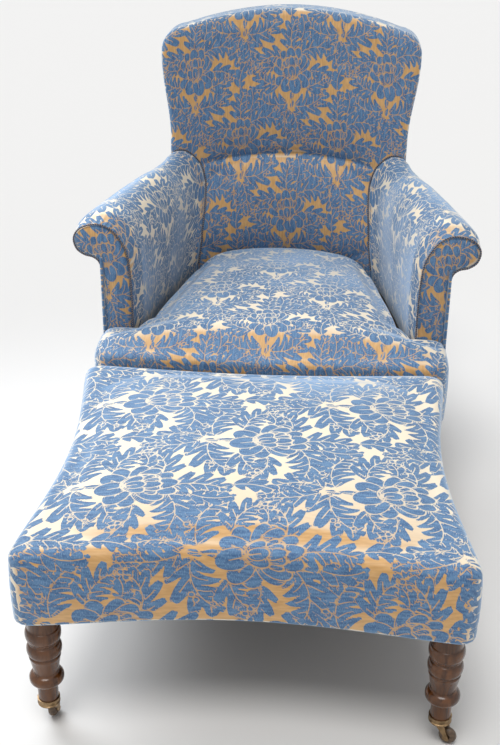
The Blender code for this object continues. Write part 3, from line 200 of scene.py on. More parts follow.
# Arms
ARM_START = 0.1455
ARM_FOOT = 0.335
FRONT_INNER = 0.318
FRONT_WIDTH = 0.127
FRONT_HEIGHT = 0.286
REAR_INNER = 0.216
REAR_WIDTH = 0.086
REAR_HEIGHT = 0.315
ARM_GIRTH = 0.545
ARM_LENGTH = 0.520
ARM_BOW = 0.012
ARM_SWELL = 0.012
ARM_FLARE = 0.018
ARM_DRAW = 0.009
FLARE_START = 0.880
ARM_REACH = 0.010
SEAM_SHARE = 0.962
ARM_FRONT_SHARES = (
    (0.000, 0.000), (-0.010, 0.300), (0.000, 0.577), (0.050, 0.770), (0.200, 0.909),
    (0.410, 0.986), (0.640, 1.000), (0.880, 0.965), (1.000, 0.885), (0.960, 0.795),
    (0.820, 0.744), (0.660, 0.724), (0.600, 0.712),
)
ARM_REAR_SHARES = (
    (0.230, 0.000), (0.120, 0.270), (0.010, 0.524), (0.000, 0.714), (0.116, 0.857),
    (0.314, 0.952), (0.547, 1.000), (0.780, 1.000), (0.965, 0.956), (1.000, 0.879),
    (0.988, 0.810), (0.970, 0.746), (0.962, 0.692),
)
ARM_SWELL_SHARES = np.array((0.6, 0.9, 0.9, 0.9, 1.0, 1.0, 1.0, 1.0, 1.0, 0.6, 0.2, 0.0, 0.0))
ARM_FLARE_SHARES = np.array((0.6, 1.0, 1.0, 1.0, 1.0, 0.9, 0.8, 0.7, 0.4, 0.1, 0.0, 0.0, 0.0))
ARM_HEART_SHARES = (0.62, 0.72)
HOLLOW_FRONT_SHARES = ((0.590, 0.858), (0.248, 0.858), (0.248, 0.000))
HOLLOW_REAR_SHARES = ((0.870, 0.848), (0.430, 0.848), (0.430, 0.000))
FOOT_STEP = 10              # the point of an arm's line at which the seat meets it

# Gathers and seams of the arms
GATHER_HIGH = 0.0016
GATHER_PITCH = 0.013
GATHER_START = 0.004
GATHER_FRONT = 0.016
GATHER_REAR = 0.014
SEAM_DEEP = 0.001
SEAM_WIDE = 0.007
PULL_DEEP = 0.004
PULL_WIDE = 0.006

# Arm fronts
FACING_FOOT_SHARE = 0.008
FACING_OUTER_SHARES = ((0.566, 0.684), (0.538, 0.610), (0.526, 0.400), (0.550, FACING_FOOT_SHARE))
FACING_BASE = 0.070
FACING_INSET = 0.0062
FACING_MARGIN = 0.006
FACING_Y = 0.1402
FACING_DOME = 0.0050
FACING_DOME_REACH = 0.030
FACING_RIPPLE = 0.0006
FACING_EDGE = ((0.004, 0.1406), (0.002, 0.1416), (0.0005, 0.1432), (-0.0038, 0.1450))   # inward, y

# Outer sides of the arms
SIDE_LONG = 0.530
SIDE_TALL = 0.310
SIDE_BOW = 0.3 * ARM_BOW
SIDE_FULL = 0.002
SIDE_THICK = 0.0055
SIDE_REAR_X = REAR_INNER + 0.955 * REAR_WIDTH
SIDE_FRONT_Z = ARM_FOOT + 0.735 * FRONT_HEIGHT
SIDE_REAR_Z = ARM_FOOT + 0.690 * REAR_HEIGHT

# Piping
PIPING = 0.0020
CORD_PITCH = 0.0105
CORD_UP = (0.0, -1.0, 0.15)
CORD_STAND = 0.0012
CORD_INSET = 0.010

# Stool
STOOL_HALF = 0.3775
STOOL_DEPTH = 0.715
STOOL_CORNER = 0.030
STOOL_HOLLOWS = (0.031, 0.020, 0.031, 0.036)        # right, back, left, front
STOOL_EDGE = 0.371
STOOL_CROWN = 0.024
STOOL_ROUNDNESS = 3.4
STOOL_SAG = 0.002
STOOL_WALL = 0.115
STOOL_HOLLOW = 0.088

# Legs and castors
LEG_RADIUS = 0.0295
LEG_FOOT = 0.045
LEG_TALL = RAIL_BASE - LEG_FOOT
LEG_SHARES = (
    (0.600, 0.000), (0.590, 0.060), (0.595, 0.190), (0.630, 0.212), (0.740, 0.220), (0.750, 0.230),
    (0.890, 0.240), (0.980, 0.260), (1.005, 0.284), (0.985, 0.308), (0.890, 0.330), (0.790, 0.342),
    (0.745, 0.350), (0.735, 0.362), (0.790, 0.420), (0.870, 0.490), (0.920, 0.522),
    (0.915, 0.534), (0.870, 0.542), (0.870, 0.552), (0.960, 0.564), (1.010, 0.596), (1.005, 0.632),
    (0.930, 0.662), (0.860, 0.674), (0.860, 0.690), (0.925, 0.700), (0.925, 0.712), (0.985, 0.728),
    (1.030, 0.762), (1.025, 0.798), (0.960, 0.828), (0.880, 0.846), (0.870, 0.910), (0.870, 0.990),
)
BLOCK = 0.056
BLOCK_CORNER = 0.012
BLOCK_CHAMFER = ((0.93, 0.0002), (1.0, 0.002))      # share of the width, rise over the rails' base
BLOCK_SINK = 0.0005
STEM_RADIUS = 0.0048
STEM_DEEP = 0.022
CUP_STEPS = (
    # share of the radius, rise over the base
    (0.90, 0.0), (0.985, 0.0012), (1.0, 0.0035), (0.94, 0.0045), (0.94, 0.0098),
    (1.0, 0.0108), (1.0, 0.0128),
)
CUP_LIP_SHARE = 0.96
CUP_WALL = 0.0019
CUP_FLOOR = 0.0033
WHEEL_RADIUS = 0.0155
WHEEL_HALF = 0.0068
WHEEL_STEPS = (
    # radius, share of the half width
    (0.0031, 0.55), (0.0050, 0.60), (0.0058, 0.98), (0.0085, 0.98), (0.0118, 0.90),
    (0.0140, 0.66), (0.99 * WHEEL_RADIUS, 0.30), (WHEEL_RADIUS, 0.0),
)

# Cloth: how the damask lies, and its colours
SEAT_CLOTH_SHIFT = (0.010, -0.090)
BACK_CLOTH_SHIFT = (0.000, -0.140)
STOOL_REPEAT = 1.26
BLUE_YARN = ((0.040, 0.114, 0.256), (0.113, 0.238, 0.420))      # darkest and lightest
BLUE_FLECK = (0.240, 0.390, 0.580)
# painted sheen: a paler blue mixed into the base colour where the chenille is seen at a slant
BLUE_PAINTED_SHEEN = (0.350, 0.545, 0.820)       # the chenille at a slant
GOLD_YARN = ((0.560, 0.310, 0.110), (0.700, 0.420, 0.175))
GOLD_DEEP = (0.660, 0.370, 0.140)
# painted sheen: cream where the satin ground is seen a little turned, and grey-blue at a steep slant
GOLD_PAINTED_SHEEN = (0.930, 0.830, 0.660)      # the satin turned a little
GOLD_PAINTED_GRAZING_SHEEN = (0.500, 0.580, 0.680)       # and at a slant
SHEEN = (0.86, 0.93, 1.0)
PILE = 0.0009
CORD_YARN = ((0.022, 0.045, 0.105), (0.330, 0.235, 0.140))
CORD_FLECK = (0.110, 0.170, 0.290)
FINE_BUMP = 0.0004


def smooth(share):
    """A share eased at both ends."""
    share = np.clip(share, 0.0, 1.0)
    return share * share * (3 - 2 * share)


def mix(start, end, share):
    """The value at a share of the way from start to end."""
    return start + (end - start) * share


# Damask, drawn as shapes over one repeat, in millimetres

REPEAT_WIDE = 250.0
REPEAT_TALL = 350.0
GRAIN = 0.5
GAP = 1.5
FAR = 9.0               # from any drawn line
OUTSIDE = -12.0         # deep in the ground
VEIN_INSET = 0.8
BERRY = 3.2
BERRY_REACH = 6


def stamp(tile, place, angle, reach, shape):
    """Lay a shape over the repeat and, half a repeat away, over its other half.

    The tile holds three fields: how deep a point lies in the raised figure, and its signed
    and plain distances from the nearest drawn line.
    """
    rows, columns = tile[0].shape
    turn = math.radians(angle)
    for drop in (0.0, 0.5):
        x0 = place[0] + drop * REPEAT_WIDE
        y0 = place[1] + drop * REPEAT_TALL
        across = np.arange(math.floor((x0 - reach) / GRAIN), math.ceil((x0 + reach) / GRAIN))
        up = np.arange(math.floor((y0 - reach) / GRAIN), math.ceil((y0 + reach) / GRAIN))
        x, y = np.meshgrid(across * GRAIN - x0, up * GRAIN - y0)
        along = x * math.cos(turn) + y * math.sin(turn)
        side = y * math.cos(turn) - x * math.sin(turn)
        inside, vein = shape(along, side)
        spot = np.ix_(up % rows, across % columns)
        ink, line, near = (field[spot] for field in tile)
        edge = inside + GAP / 2
        take = (edge > 0) | (np.abs(edge) < near)
        line = np.where(take, edge, line)
        near = np.where(take, np.abs(edge), near)
        take = (inside > VEIN_INSET) & (np.abs(vein) < near)
        tile[0][spot] = np.maximum(ink, inside)
        tile[1][spot] = np.where(take, vein, line)
        tile[2][spot] = np.where(take, np.abs(vein), near)


def leaf(length, width, bend, lobes):
    """A lobed leaf along a rib that bends through an angle, in degrees."""
    pitch = length / lobes
    radius = abs(length / math.radians(bend))

    def shape(x, y):
        y = y * math.copysign(1.0, bend)
        along = radius * np.arctan2(x, radius - y)
        side = radius - np.hypot(x, y - radius)
        share = np.clip(along / length, 0.0, 1.0)
        out = np.abs(side)
        swept = along - out + 0.010 * out * out
        phase = swept / pitch + 0.30 + 0.22 * (side > 0)
        lobe = phase - np.floor(phase)
        limit = width * np.sin(math.pi * share ** 0.8) ** 0.5
        limit = limit * (1 - 0.84 * np.abs(2 * lobe - 1) ** 2.5)
        limit = limit * (1 + 0.05 * np.sin(6 * math.pi * phase))
        inside = np.minimum((limit - out) * 0.8, np.minimum(along, length - along))
        rib = np.where(share < 0.90, side, FAR)
        reach = limit * np.clip((width - 18) / 16, 0.0, 0.58)
        twig = np.where((out < reach) & (out > 1.0), (lobe - 0.5) * pitch * 0.75, FAR)
        return inside, np.where(np.abs(rib) < np.abs(twig), rib, twig)

    return shape


def petal(length, width, folds):
    """A rounded petal that starts at the origin, with some folds drawn along it."""

    def shape(x, y):
        ring = np.hypot((x - length * 0.56) / (length * 0.5), y / width)
        inside = (1 - ring) * min(width, length / 2)
        share = np.clip(x / length, 0.0, 1.0)
        lines = np.full_like(x, FAR)
        for k in range(folds):
            place = (2 * (k + 0.5) / folds - 1) * 0.62
            fold = y - place * width * np.sin(math.pi * share) ** 0.5
            lines = np.where((np.abs(fold) < np.abs(lines)) & (share < 0.70), fold, lines)
        return inside, lines

    return shape


def berry(x, y):
    """A round dot."""
    return BERRY - np.hypot(x, y), np.full_like(x, FAR)


def draw_damask():
    """Acanthus sprays around a flower, as the three fields of one repeat."""
    size = (int(REPEAT_TALL / GRAIN), int(REPEAT_WIDE / GRAIN))
    tile = [np.full(size, OUTSIDE), np.full(size, FAR), np.full(size, FAR)]
    leaves = (
        # x, y, angle, length, width, bend, lobes
        (-8, -60, 202, 112, 37, -92, 5), (10, -66, -10, 98, 36, 78, 4),
        (-6, -74, 240, 76, 27, 66, 3), (6, -80, 300, 90, 28, -44, 4),
        (-32, -14, 190, 78, 28, -92, 4), (38, -18, 6, 72, 27, 62, 3),
        (-22, 50, 158, 78, 30, 84, 4), (18, 60, 46, 96, 34, -84, 4),
        (46, 20, 12, 74, 22, -70, 4), (-42, 24, 150, 44, 14, 80, 3),
        (0, 70, 106, 84, 30, -46, 4), (-104, -78, 62, 64, 17, 60, 3),
        (-114, 44, 262, 36, 12, 50, 3), (120, -22, 104, 66, 17, -56, 3),
        (2, -74, 84, 64, 6, 16, 2),
    )
    for x, y, angle, length, width, bend, lobes in leaves:
        stamp(tile, (x, y), angle, length + 10, leaf(length, width, bend, lobes))
    petals = (
        # y, angles, length, width, folds
        (10, (198, 352, 232, 318, 276), 45, 15, 1), (18, (164, 26, 136, 44), 47, 14, 1),
        (26, (116, 66, 92), 48, 12, 1), (-4, (84, 100), 54, 17, 1),
        (22, (134, 46, 112, 68, 90), 30, 7, 0), (2, (124, 58), 30, 8, 0), (4, (90,), 26, 8, 1),
    )
    for y, angles, length, width, folds in petals:
        for angle in angles:
            stamp(tile, (3, y), angle + 9, length + 6, petal(length, width, folds))
    for place in ((-80, 30), (-88, 22), (84, 8), (92, 2), (-60, 112), (-52, 118), (84, 98)):
        stamp(tile, place, 0, BERRY_REACH, berry)
    return [field.astype(np.float32) for field in tile]


DAMASK = draw_damask()


# Lines and meshes

def join(*parts):
    """Points from their coordinates, spread out to one shape."""
    return np.stack(np.broadcast_arrays(*parts), axis=-1)


def unit(vectors):
    """Vectors brought to a length of 1."""
    return vectors / np.linalg.norm(vectors, axis=-1, keepdims=True)


def travel(points):
    """How far each point of a line lies along it."""
    return np.concatenate([[0.0], np.cumsum(np.linalg.norm(np.diff(points, axis=0), axis=1))])


def resample(points, count):
    """A line's points spread evenly along it."""
    points = np.asarray(points, float)
    along = travel(points)
    where = np.linspace(0.0, along[-1], count)
    return join(*(np.interp(where, along, column) for column in points.T))


def steps(length, spacing=SPACING):
    """How many steps a length takes, as a multiple of four."""
    return 4 * round(float(length) / spacing / 4)


def even(parts, counts):
    """Lines resampled to their counts of steps and joined end to end."""
    return np.concatenate([resample(part, count + 1)[:-1] for part, count in zip(parts, counts)])


def sides(parts, spacing=SPACING):
    """Four sides joined to a loop of even steps, with the counts across and up."""
    lengths = [travel(part)[-1] for part in parts]
    across = steps(max(lengths[0], lengths[2]), spacing)
    up = steps(max(lengths[1], lengths[3]), spacing)
    return even(parts, (across, up, across, up)), across, up


def spline(points, pieces=12):
    """A smooth line through points."""
    points = np.asarray(points, float)
    padded = np.concatenate([2 * points[:1] - points[1:2], points, 2 * points[-1:] - points[-2:-1]])
    s = (np.arange(pieces) / pieces)[:, None]
    line = []
    for i in range(len(points) - 1):
        p0, p1, p2, p3 = padded[i:i + 4]
        line.append(0.5 * (2 * p1 + (p2 - p0) * s + (2 * p0 - 5 * p1 + 4 * p2 - p3) * s ** 2
                           + (3 * p1 - p0 - 3 * p2 + p3) * s ** 3))
    return np.concatenate([*line, points[-1:]])


def arc(centre, radius, start, end, pieces=24):
    """Points of an arc between two angles in degrees."""
    angle = np.radians(np.linspace(start, end, pieces + 1))
    return join(centre[0] + radius * np.cos(angle), centre[1] + radius * np.sin(angle))


def relax(values, rounds):
    """Values round a closed loop, evened out with their neighbours."""
    for _ in range(rounds):
        values = (np.roll(values, 1, axis=0) + 2 * values + np.roll(values, -1, axis=0)) / 4
    return values


def outward(loop, rounds=0):
    """Unit normals that point out of a closed counterclockwise loop, evened out in rounds."""
    along = np.roll(loop, -1, axis=0) - np.roll(loop, 1, axis=0)
    normal = unit(join(along[:, 1], -along[:, 0]))
    return unit(relax(normal, rounds)) if rounds else normal


def nearest(points, loop):
    """How far each point lies from the nearest point of a loop."""
    return np.sqrt(((points[:, None] - loop[None]) ** 2).sum(axis=2)).min(axis=1)


def patch(loop, across, up):
    """A grid over a closed loop that starts at its lower left corner and runs to the right."""
    low = loop[:across + 1]
    right = loop[across:across + up + 1]
    high = loop[across + up:2 * across + up + 1][::-1]
    left = np.concatenate([loop[2 * across + up:], loop[:1]])[::-1]
    s = np.linspace(0, 1, across + 1)[None, :, None]
    t = np.linspace(0, 1, up + 1)[:, None, None]
    corners = ((1 - s) * (1 - t) * low[0] + s * (1 - t) * low[-1]
               + (1 - s) * t * high[0] + s * t * high[-1])
    return ((1 - t) * low[None] + t * high[None] + (1 - s) * left[:, None] + s * right[:, None]
            - corners)


def rim(grid):
    """Numbers round the edge of a grid, in the order of its loop."""
    return np.concatenate([grid[0, :-1], grid[:-1, -1], grid[-1, :0:-1], grid[:0:-1, 0]])


def edge_fade(shape, reach):
    """0 along the edge of a grid and 1 from some steps inside it."""
    rows, columns = (np.minimum(np.arange(count), np.arange(count)[::-1]) for count in shape)
    return smooth(np.minimum(rows[:, None], columns[None]) / reach)


def ripple(points, size, seed):
    """Gentle unevenness, as waves in several directions that add up."""
    rng = np.random.default_rng(seed)
    total = np.zeros(points.shape[:-1])
    for _ in range(7):
        wave = rng.normal(size=points.shape[-1])
        wave *= 2 * math.pi / (size * rng.uniform(0.7, 1.6)) / np.linalg.norm(wave)
        total = total + np.sin(points @ wave + rng.uniform(0, 2 * math.pi))
    return total / 7


def stand(name, data):
    """A new object in the scene."""
    obj = bpy.data.objects.new(name, data)
    bpy.context.scene.collection.objects.link(obj)
    return obj


class Shell:
    """Points, cloth places and faces of one piece, added row by row."""

    def __init__(self):
        self.points = []
        self.cloth = []
        self.faces = []
        self.count = 0

    def add(self, points, cloth=None):
        """Add points of any grid shape and return their numbers in that shape."""
        points = np.asarray(points, float)
        shape = points.shape[:-1]
        if cloth is None:
            cloth = points[..., :2]
        self.points.append(points.reshape(-1, 3))
        self.cloth.append(np.asarray(cloth, float).reshape(-1, 2))
        numbers = np.arange(self.count, self.count + int(np.prod(shape))).reshape(shape)
        self.count += numbers.size
        return numbers

    def quads(self, grid, close=False):
        """Faces between neighbouring rows and columns of a grid of numbers."""
        if close:
            grid = np.concatenate([grid, grid[:, :1]], axis=1)
        corners = (grid[:-1, :-1], grid[:-1, 1:], grid[1:, 1:], grid[1:, :-1])
        self.faces += np.stack(corners, axis=-1).reshape(-1, 4).tolist()

    def caps(self, rows):
        """Close the first and last of some rings of numbers."""
        self.faces += [rows[0][::-1].tolist(), rows[-1].tolist()]

    def carry(self, ring, rows):
        """Carry a cover on from a ring of numbers through rows of (points, cloth)."""
        for points, cloth in rows:
            numbers = self.add(points, cloth)
            self.quads(np.stack([ring, numbers]), close=True)
            ring = numbers
        return ring

    def settle(self, body):
        """Move the piece from about its body's middle to the body's place."""
        turn = np.array(Matrix.Rotation(TURNS[body], 3, "Z"))
        self.points = [points @ turn.T + np.array(MIDDLES[body]) for points in self.points]

    def object(self, name, material, body, replaced, closed=True, marks=True):
        """The finished piece, riding on its body."""
        mesh = bpy.data.meshes.new(name)
        mesh.from_pydata(np.concatenate(self.points).tolist(), [], self.faces)
        if marks:
            self.mark(mesh, np.concatenate(self.cloth))
        if closed:
            turn_outward(mesh)
        mesh.shade_smooth()
        mesh.materials.append(material)
        obj = stand(name, mesh)
        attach(obj, body)
        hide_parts(*replaced)
        return obj

    def cover(self, name, body, replaced, closed=True):
        """The finished piece as a damask cover."""
        self.settle(body)
        return self.object(name, DAMASK_CLOTH, body, replaced, closed)

    def mark(self, mesh, cloth):
        """Write the damask's fields and the cloth's own places on the mesh."""
        rows, columns = DAMASK[0].shape
        x, y = np.floor(cloth.T * 1000 / GRAIN).astype(int)
        for name, field in zip(("ink", "line", "near"), DAMASK):
            values = mesh.attributes.new(name, "FLOAT", "POINT")
            values.data.foreach_set("value", field[y % rows, x % columns])
        values = mesh.attributes.new("cloth", "FLOAT_VECTOR", "POINT")
        values.data.foreach_set("vector", join(*cloth.T, 0.0).astype(np.float32).ravel())


def turn_outward(mesh):
    """Turn a closed mesh's faces outward."""
    bm = bmesh.new()
    bm.from_mesh(mesh)
    bmesh.ops.recalc_face_normals(bm, faces=bm.faces)
    bm.to_mesh(mesh)
    bm.free()


def soften(obj, line):
    """Smooth a cover near the line where its face turns down into its border."""
    tree = KDTree(len(line))
    for i, point in enumerate(line):
        tree.insert(point, i)
    tree.balance()
    group = obj.vertex_groups.new(name="brow")
    for vertex in obj.data.vertices:
        near = tree.find(vertex.co)[2]
        if near < BROW_REACH:
            group.add([vertex.index], 1 - (near / BROW_REACH) ** 2, "REPLACE")
    change = obj.modifiers.new("Soften", "SMOOTH")
    change.factor = 0.5
    change.iterations = 30
    change.vertex_group = group.name


def thicken(obj, depth):
    """Give a sheet its thickness, inward from the face that shows."""
    change = obj.modifiers.new("Thickness", "SOLIDIFY")
    change.thickness = depth
    change.offset = -1.0
    change.use_even_offset = False


# Forms that the covers follow, in the chair's own frame

def back_face(x, z):
    """Depth of the inside back's face, without the lumbar roll."""
    rise = (z - BACK_BASE_Z) / BACK_RISE
    middle = BACK_DEPTH + BACK_LEAN * rise + BACK_CURL * rise * rise
    hollow = mix(BACK_HOLLOW, BACK_HOLLOW_LOW, smooth((TUB_TOP_Z - z) / (TUB_TOP_Z - BACK_BASE_Z)))
    return middle - hollow * (x / BACK_REF) ** 2


def behind(flat, depth):
    """Points at places in x and z, at a depth behind the inside back's face."""
    x, z = flat[..., 0], flat[..., 1]
    return join(x, back_face(x, z) + depth, z)


def back_half(z):
    """Half width of the back at a height."""
    low = mix(BASE_HALF, WAIST_HALF, np.clip((z - BACK_FLOOR) / (WAIST_Z - BACK_FLOOR), 0, 1))
    high = (SHOULDER_HALF - WAIST_HALF) * smooth((z - WAIST_Z) / (SHOULDER_Z - WAIST_Z))
    return low + high


def crest_height(x):
    """Height of the arched top, without its rounded corners."""
    return CREST_Z - CREST_FALL * (x / (SHOULDER_HALF - CREST_CORNER)) ** 2


def lumbar_swell(x, z):
    """How far the lumbar roll stands out of the back, with the fold that closes its top."""
    height = np.where(z > LUMBAR_Z, LUMBAR_UP - LUMBAR_FALL * (x / LUMBAR_HALF) ** 2, LUMBAR_DOWN)
    ring = (np.abs(x / LUMBAR_HALF) ** 3.0 + np.abs((z - LUMBAR_Z) / height) ** 2.6) ** 0.36
    roll = LUMBAR_DEEP * (1 - np.clip(ring, 0, 1) ** 2.8)
    fold = LUMBAR_Z + height - z
    fade = CREASE_DEEP * smooth((LUMBAR_HALF - np.abs(x)) / CREASE_FADE)
    crease = np.exp(-np.abs((fold + CREASE_RISE) / CREASE_WIDE) ** 1.5)
    dip = np.exp(-(fold / DIP_WIDE) ** 2) * (fold < 0)
    return roll - (crease + dip) * fade * (z > LUMBAR_Z)


def front_xz(shares):
    """Places in the arm's front section, in x and z."""
    return (FRONT_INNER, ARM_FOOT) + np.asarray(shares, float) * (FRONT_WIDTH, FRONT_HEIGHT)


def rear_xz(shares):
    """Places in the arm's rear section, in x and z."""
    return (REAR_INNER, ARM_FOOT) + np.asarray(shares, float) * (REAR_WIDTH, REAR_HEIGHT)


def arm_place(front, rear, share, reach=0.0):
    """Points of the arm at a share of its length, from its front and rear sections' shares."""
    ends = mix(front_xz(front), rear_xz(rear), share)
    x, z = ends[..., 0] + ARM_BOW * np.sin(math.pi * share), ends[..., 1]
    return join(x, mix(ARM_START, back_face(x, z) + reach, share), z)


def from_heart(points, share):
    """Directions in x and z away from the arm's heart."""
    heart = mix(front_xz(ARM_HEART_SHARES), rear_xz(ARM_HEART_SHARES), share)
    return unit(join(points[:, 0] - heart[0], np.maximum(0.0, points[:, 2] - heart[1])))


def arm_skin(share, reach=0.0):
    """The arm's cover at a share of its length, as a dense line round the section."""
    points = arm_place(ARM_FRONT_SHARES, ARM_REAR_SHARES, share, reach)
    swell = ARM_SWELL * ARM_SWELL_SHARES * smooth(share / 0.12) * (1 - share / 2)
    turn = min(1.0, max(0.0, (share - FLARE_START) / (SEAM_SHARE - FLARE_START)))
    flare = ARM_FLARE * ARM_FLARE_SHARES * (1 - math.sqrt(1 - 0.9 * turn * turn))
    draw = ARM_DRAW * ARM_FLARE_SHARES * smooth((share - 0.55) / 0.33)
    points[:, ::2] += from_heart(points, share) * (swell + flare - draw)[:, None]
    return spline(points)


def facing_outline():
    """Outline of the arm's front in x and z, from the inner foot to the outer foot."""
    foot = (ARM_FRONT_SHARES[0][0], FACING_FOOT_SHARE)
    return spline(front_xz([foot, *ARM_FRONT_SHARES[1:-1], *FACING_OUTER_SHARES]))


# Materials

class Nodes:
    """A material's node tree, built by short calls."""

    def __init__(self, name):
        self.material = bpy.data.materials.new(name)
        self.material.use_nodes = True
        self.tree = self.material.node_tree
        self.shader = self.tree.nodes["Principled BSDF"]

    def node(self, kind, inputs=(), **settings):
        """A node with its settings, and with values or links put into its inputs."""
        made = self.tree.nodes.new("ShaderNode" + kind)
        for key, value in settings.items():
            setattr(made, key, value)
        for key, value in dict(inputs).items():
            self.put(made.inputs[key], value)
        return made

    def put(self, socket, value):
        """Link a socket, or set it to a constant."""
        if isinstance(value, bpy.types.NodeSocket):
            self.tree.links.new(value, socket)
        elif isinstance(value, tuple) and len(value) == 3 and socket.type == "RGBA":
            socket.default_value = (*value, 1.0)
        else:
            socket.default_value = value

    def math(self, operation, *values, clamp=False):
        """The result of a math node."""
        return self.node("Math", enumerate(values), operation=operation, use_clamp=clamp).outputs[0]

    def blend(self, factor, first, second):
        """A colour between two colours."""
        return self.node("Mix", {0: factor, 6: first, 7: second}, data_type="RGBA").outputs[2]

    def field(self, name, output="Fac"):
        """A value stored on the mesh."""
        return self.node("Attribute", attribute_name=name).outputs[output]

    def place(self):
        """Places in the object's own frame."""
        return self.node("TexCoord").outputs["Object"]

    def noise(self, place, scale, stretch=(1.0, 1.0, 1.0), **inputs):
        """A noise value between 0 and 1, stretched along the axes."""
        mapped = self.node("Mapping", {0: place, "Scale": stretch}).outputs[0]
        inputs = {"Vector": mapped, "Scale": scale, "Detail": 2.0, **inputs}
        return self.node("TexNoise", inputs).outputs["Fac"]

    def ramp(self, value, low, high, start=0.0, end=1.0):
        """A value moved smoothly from one range to another."""
        return self.node("MapRange", {0: value, 1: low, 2: high, 3: start, 4: end},
                         interpolation_type="SMOOTHSTEP").outputs[0]

    def bump(self, height, strength, distance=FINE_BUMP):
        """A bumped normal."""
        inputs = {"Strength": strength, "Distance": distance, "Height": height}
        return self.node("Bump", inputs).outputs[0]

    def finish(self, **inputs):
        """Fill the shader's inputs and return the material."""
        for key, value in inputs.items():
            self.put(self.shader.inputs[key.replace("_", " ")], value)
        return self.material


def damask_material():
    """Blue chenille figures on a satin gold ground, with a painted sheen in the base colour where the
    cloth is seen at a slant.
    """
    n = Nodes("damask")
    cloth = n.field("cloth", "Vector")
    line = n.math("ABSOLUTE", n.field("line"))
    rough = n.math("MULTIPLY", n.math("SUBTRACT", n.noise(cloth, 420.0), 0.5), 2.0)
    figure = n.ramp(n.math("ADD", n.field("ink"), rough), -0.25, 0.35)
    drawn = n.math("MULTIPLY", n.ramp(line, 0.45, 1.00, 1.0, 0.0),
                   n.ramp(n.field("near"), 2.0, 3.0, 1.0, 0.0))
    raised = n.math("SUBTRACT", figure, n.math("MULTIPLY", drawn, 0.85), clamp=True)
    slub = n.noise(cloth, 260.0, (1.0, 0.16, 1.0), Detail=3.0)
    fleck = n.noise(cloth, 800.0, (0.35, 1.0, 1.0))
    wide = n.noise(cloth, 9.0, Detail=1.0)
    streak = n.ramp(slub, 0.30, 0.70)
    # Painted sheen: the Layer Weight facing, moved about by broad noise patches, pales the blue and
    # lightens the gold in the base colour.
    facing = n.node("LayerWeight", {"Blend": 0.5}).outputs["Facing"]
    painted_sheen_patches = n.math("MULTIPLY", n.math("SUBTRACT", n.noise(cloth, 3.2, Detail=1.0), 0.5), 0.55)
    slant = n.math("ADD", facing, painted_sheen_patches)
    # mask of the painted sheen on the blue, faded again near the outline
    pale = n.math("MULTIPLY", n.ramp(slant, 0.56, 0.90, 0.0, 0.72),
                  n.ramp(facing, 0.78, 0.96, 1.0, 0.25))
    blue = n.blend(streak, *BLUE_YARN)
    blue = n.blend(n.ramp(fleck, 0.48, 0.70, 0.0, 0.6), blue, BLUE_FLECK)
    blue = n.blend(pale, blue, BLUE_PAINTED_SHEEN)
    gold = n.blend(streak, *GOLD_YARN)
    gold = n.blend(n.ramp(wide, 0.35, 0.75, 0.0, 0.35), gold, GOLD_DEEP)
    # Painted sheen on the gold ground: cream as the surface turns from the view, grey-blue at a steep
    # slant.
    gold = n.blend(n.ramp(facing, 0.20, 0.52, 0.0, 0.90), gold, GOLD_PAINTED_SHEEN)
    gold = n.blend(n.ramp(facing, 0.58, 0.88, 0.0, 0.70), gold, GOLD_PAINTED_GRAZING_SHEEN)
    pile = n.math("MULTIPLY", raised, n.math("ADD", 0.70, n.math("MULTIPLY", slub, 0.60)))
    height = n.math("ADD", pile, n.math("MULTIPLY", fleck, 0.12))
    return n.finish(
        Base_Color=n.blend(raised, gold, blue), Normal=n.bump(height, 0.6, PILE),
        Roughness=n.math("ADD", 0.44, n.math("MULTIPLY", raised, 0.22)),
        Specular_IOR_Level=0.4, Sheen_Weight=0.50, Sheen_Roughness=0.42, Sheen_Tint=SHEEN,
    )


def cord_material():
    """Twisted cord of dark blue and gold yarn."""
    n = Nodes("piping")
    cloth = n.field("cloth", "Vector")
    parts = n.node("SeparateXYZ", {0: cloth})
    along = n.math("ADD", n.math("MULTIPLY", parts.outputs[0], 190.0), parts.outputs[1])
    turn = n.math("FRACT", along)
    yarn = n.ramp(n.math("ABSOLUTE", n.math("SUBTRACT", turn, 0.5)), 0.26, 0.40)
    fleck = n.noise(cloth, 900.0)
    colour = n.blend(n.ramp(fleck, 0.50, 0.78), n.blend(yarn, *CORD_YARN), CORD_FLECK)
    return n.finish(Base_Color=colour, Roughness=0.8, Normal=n.bump(fleck, 0.5),
                    Sheen_Weight=0.15, Sheen_Roughness=0.5)


def wood_material(name, dark, light, roughness, coat, stretch=(1.0, 1.0, 0.12)):
    """Wood with its grain along one axis."""
    n = Nodes(name)
    place = n.place()
    rings = n.noise(place, 55.0, stretch, Detail=6.0, Roughness=0.62, Distortion=0.7)
    pores = n.noise(place, 420.0, stretch)
    height = n.math("ADD", rings, n.math("MULTIPLY", pores, 0.5))
    return n.finish(Base_Color=n.blend(n.ramp(rings, 0.34, 0.66), dark, light), Roughness=roughness,
                    Normal=n.bump(height, 0.15), Specular_IOR_Level=0.3, Coat_Weight=coat,
                    Coat_Roughness=0.12)


def plain_material(name, colour, roughness, metallic=0.0, scale=300.0, spread=0.25):
    """A colour with some unevenness in tone and height."""
    n = Nodes(name)
    fleck = n.noise(n.place(), scale, Detail=3.0)
    darker = tuple(part * (1 - spread) for part in colour)
    lighter = tuple(min(1.0, part * (1 + spread)) for part in colour)
    return n.finish(Base_Color=n.blend(n.ramp(fleck, 0.3, 0.7), darker, lighter),
                    Roughness=roughness, Metallic=metallic, Normal=n.bump(fleck, 0.2))


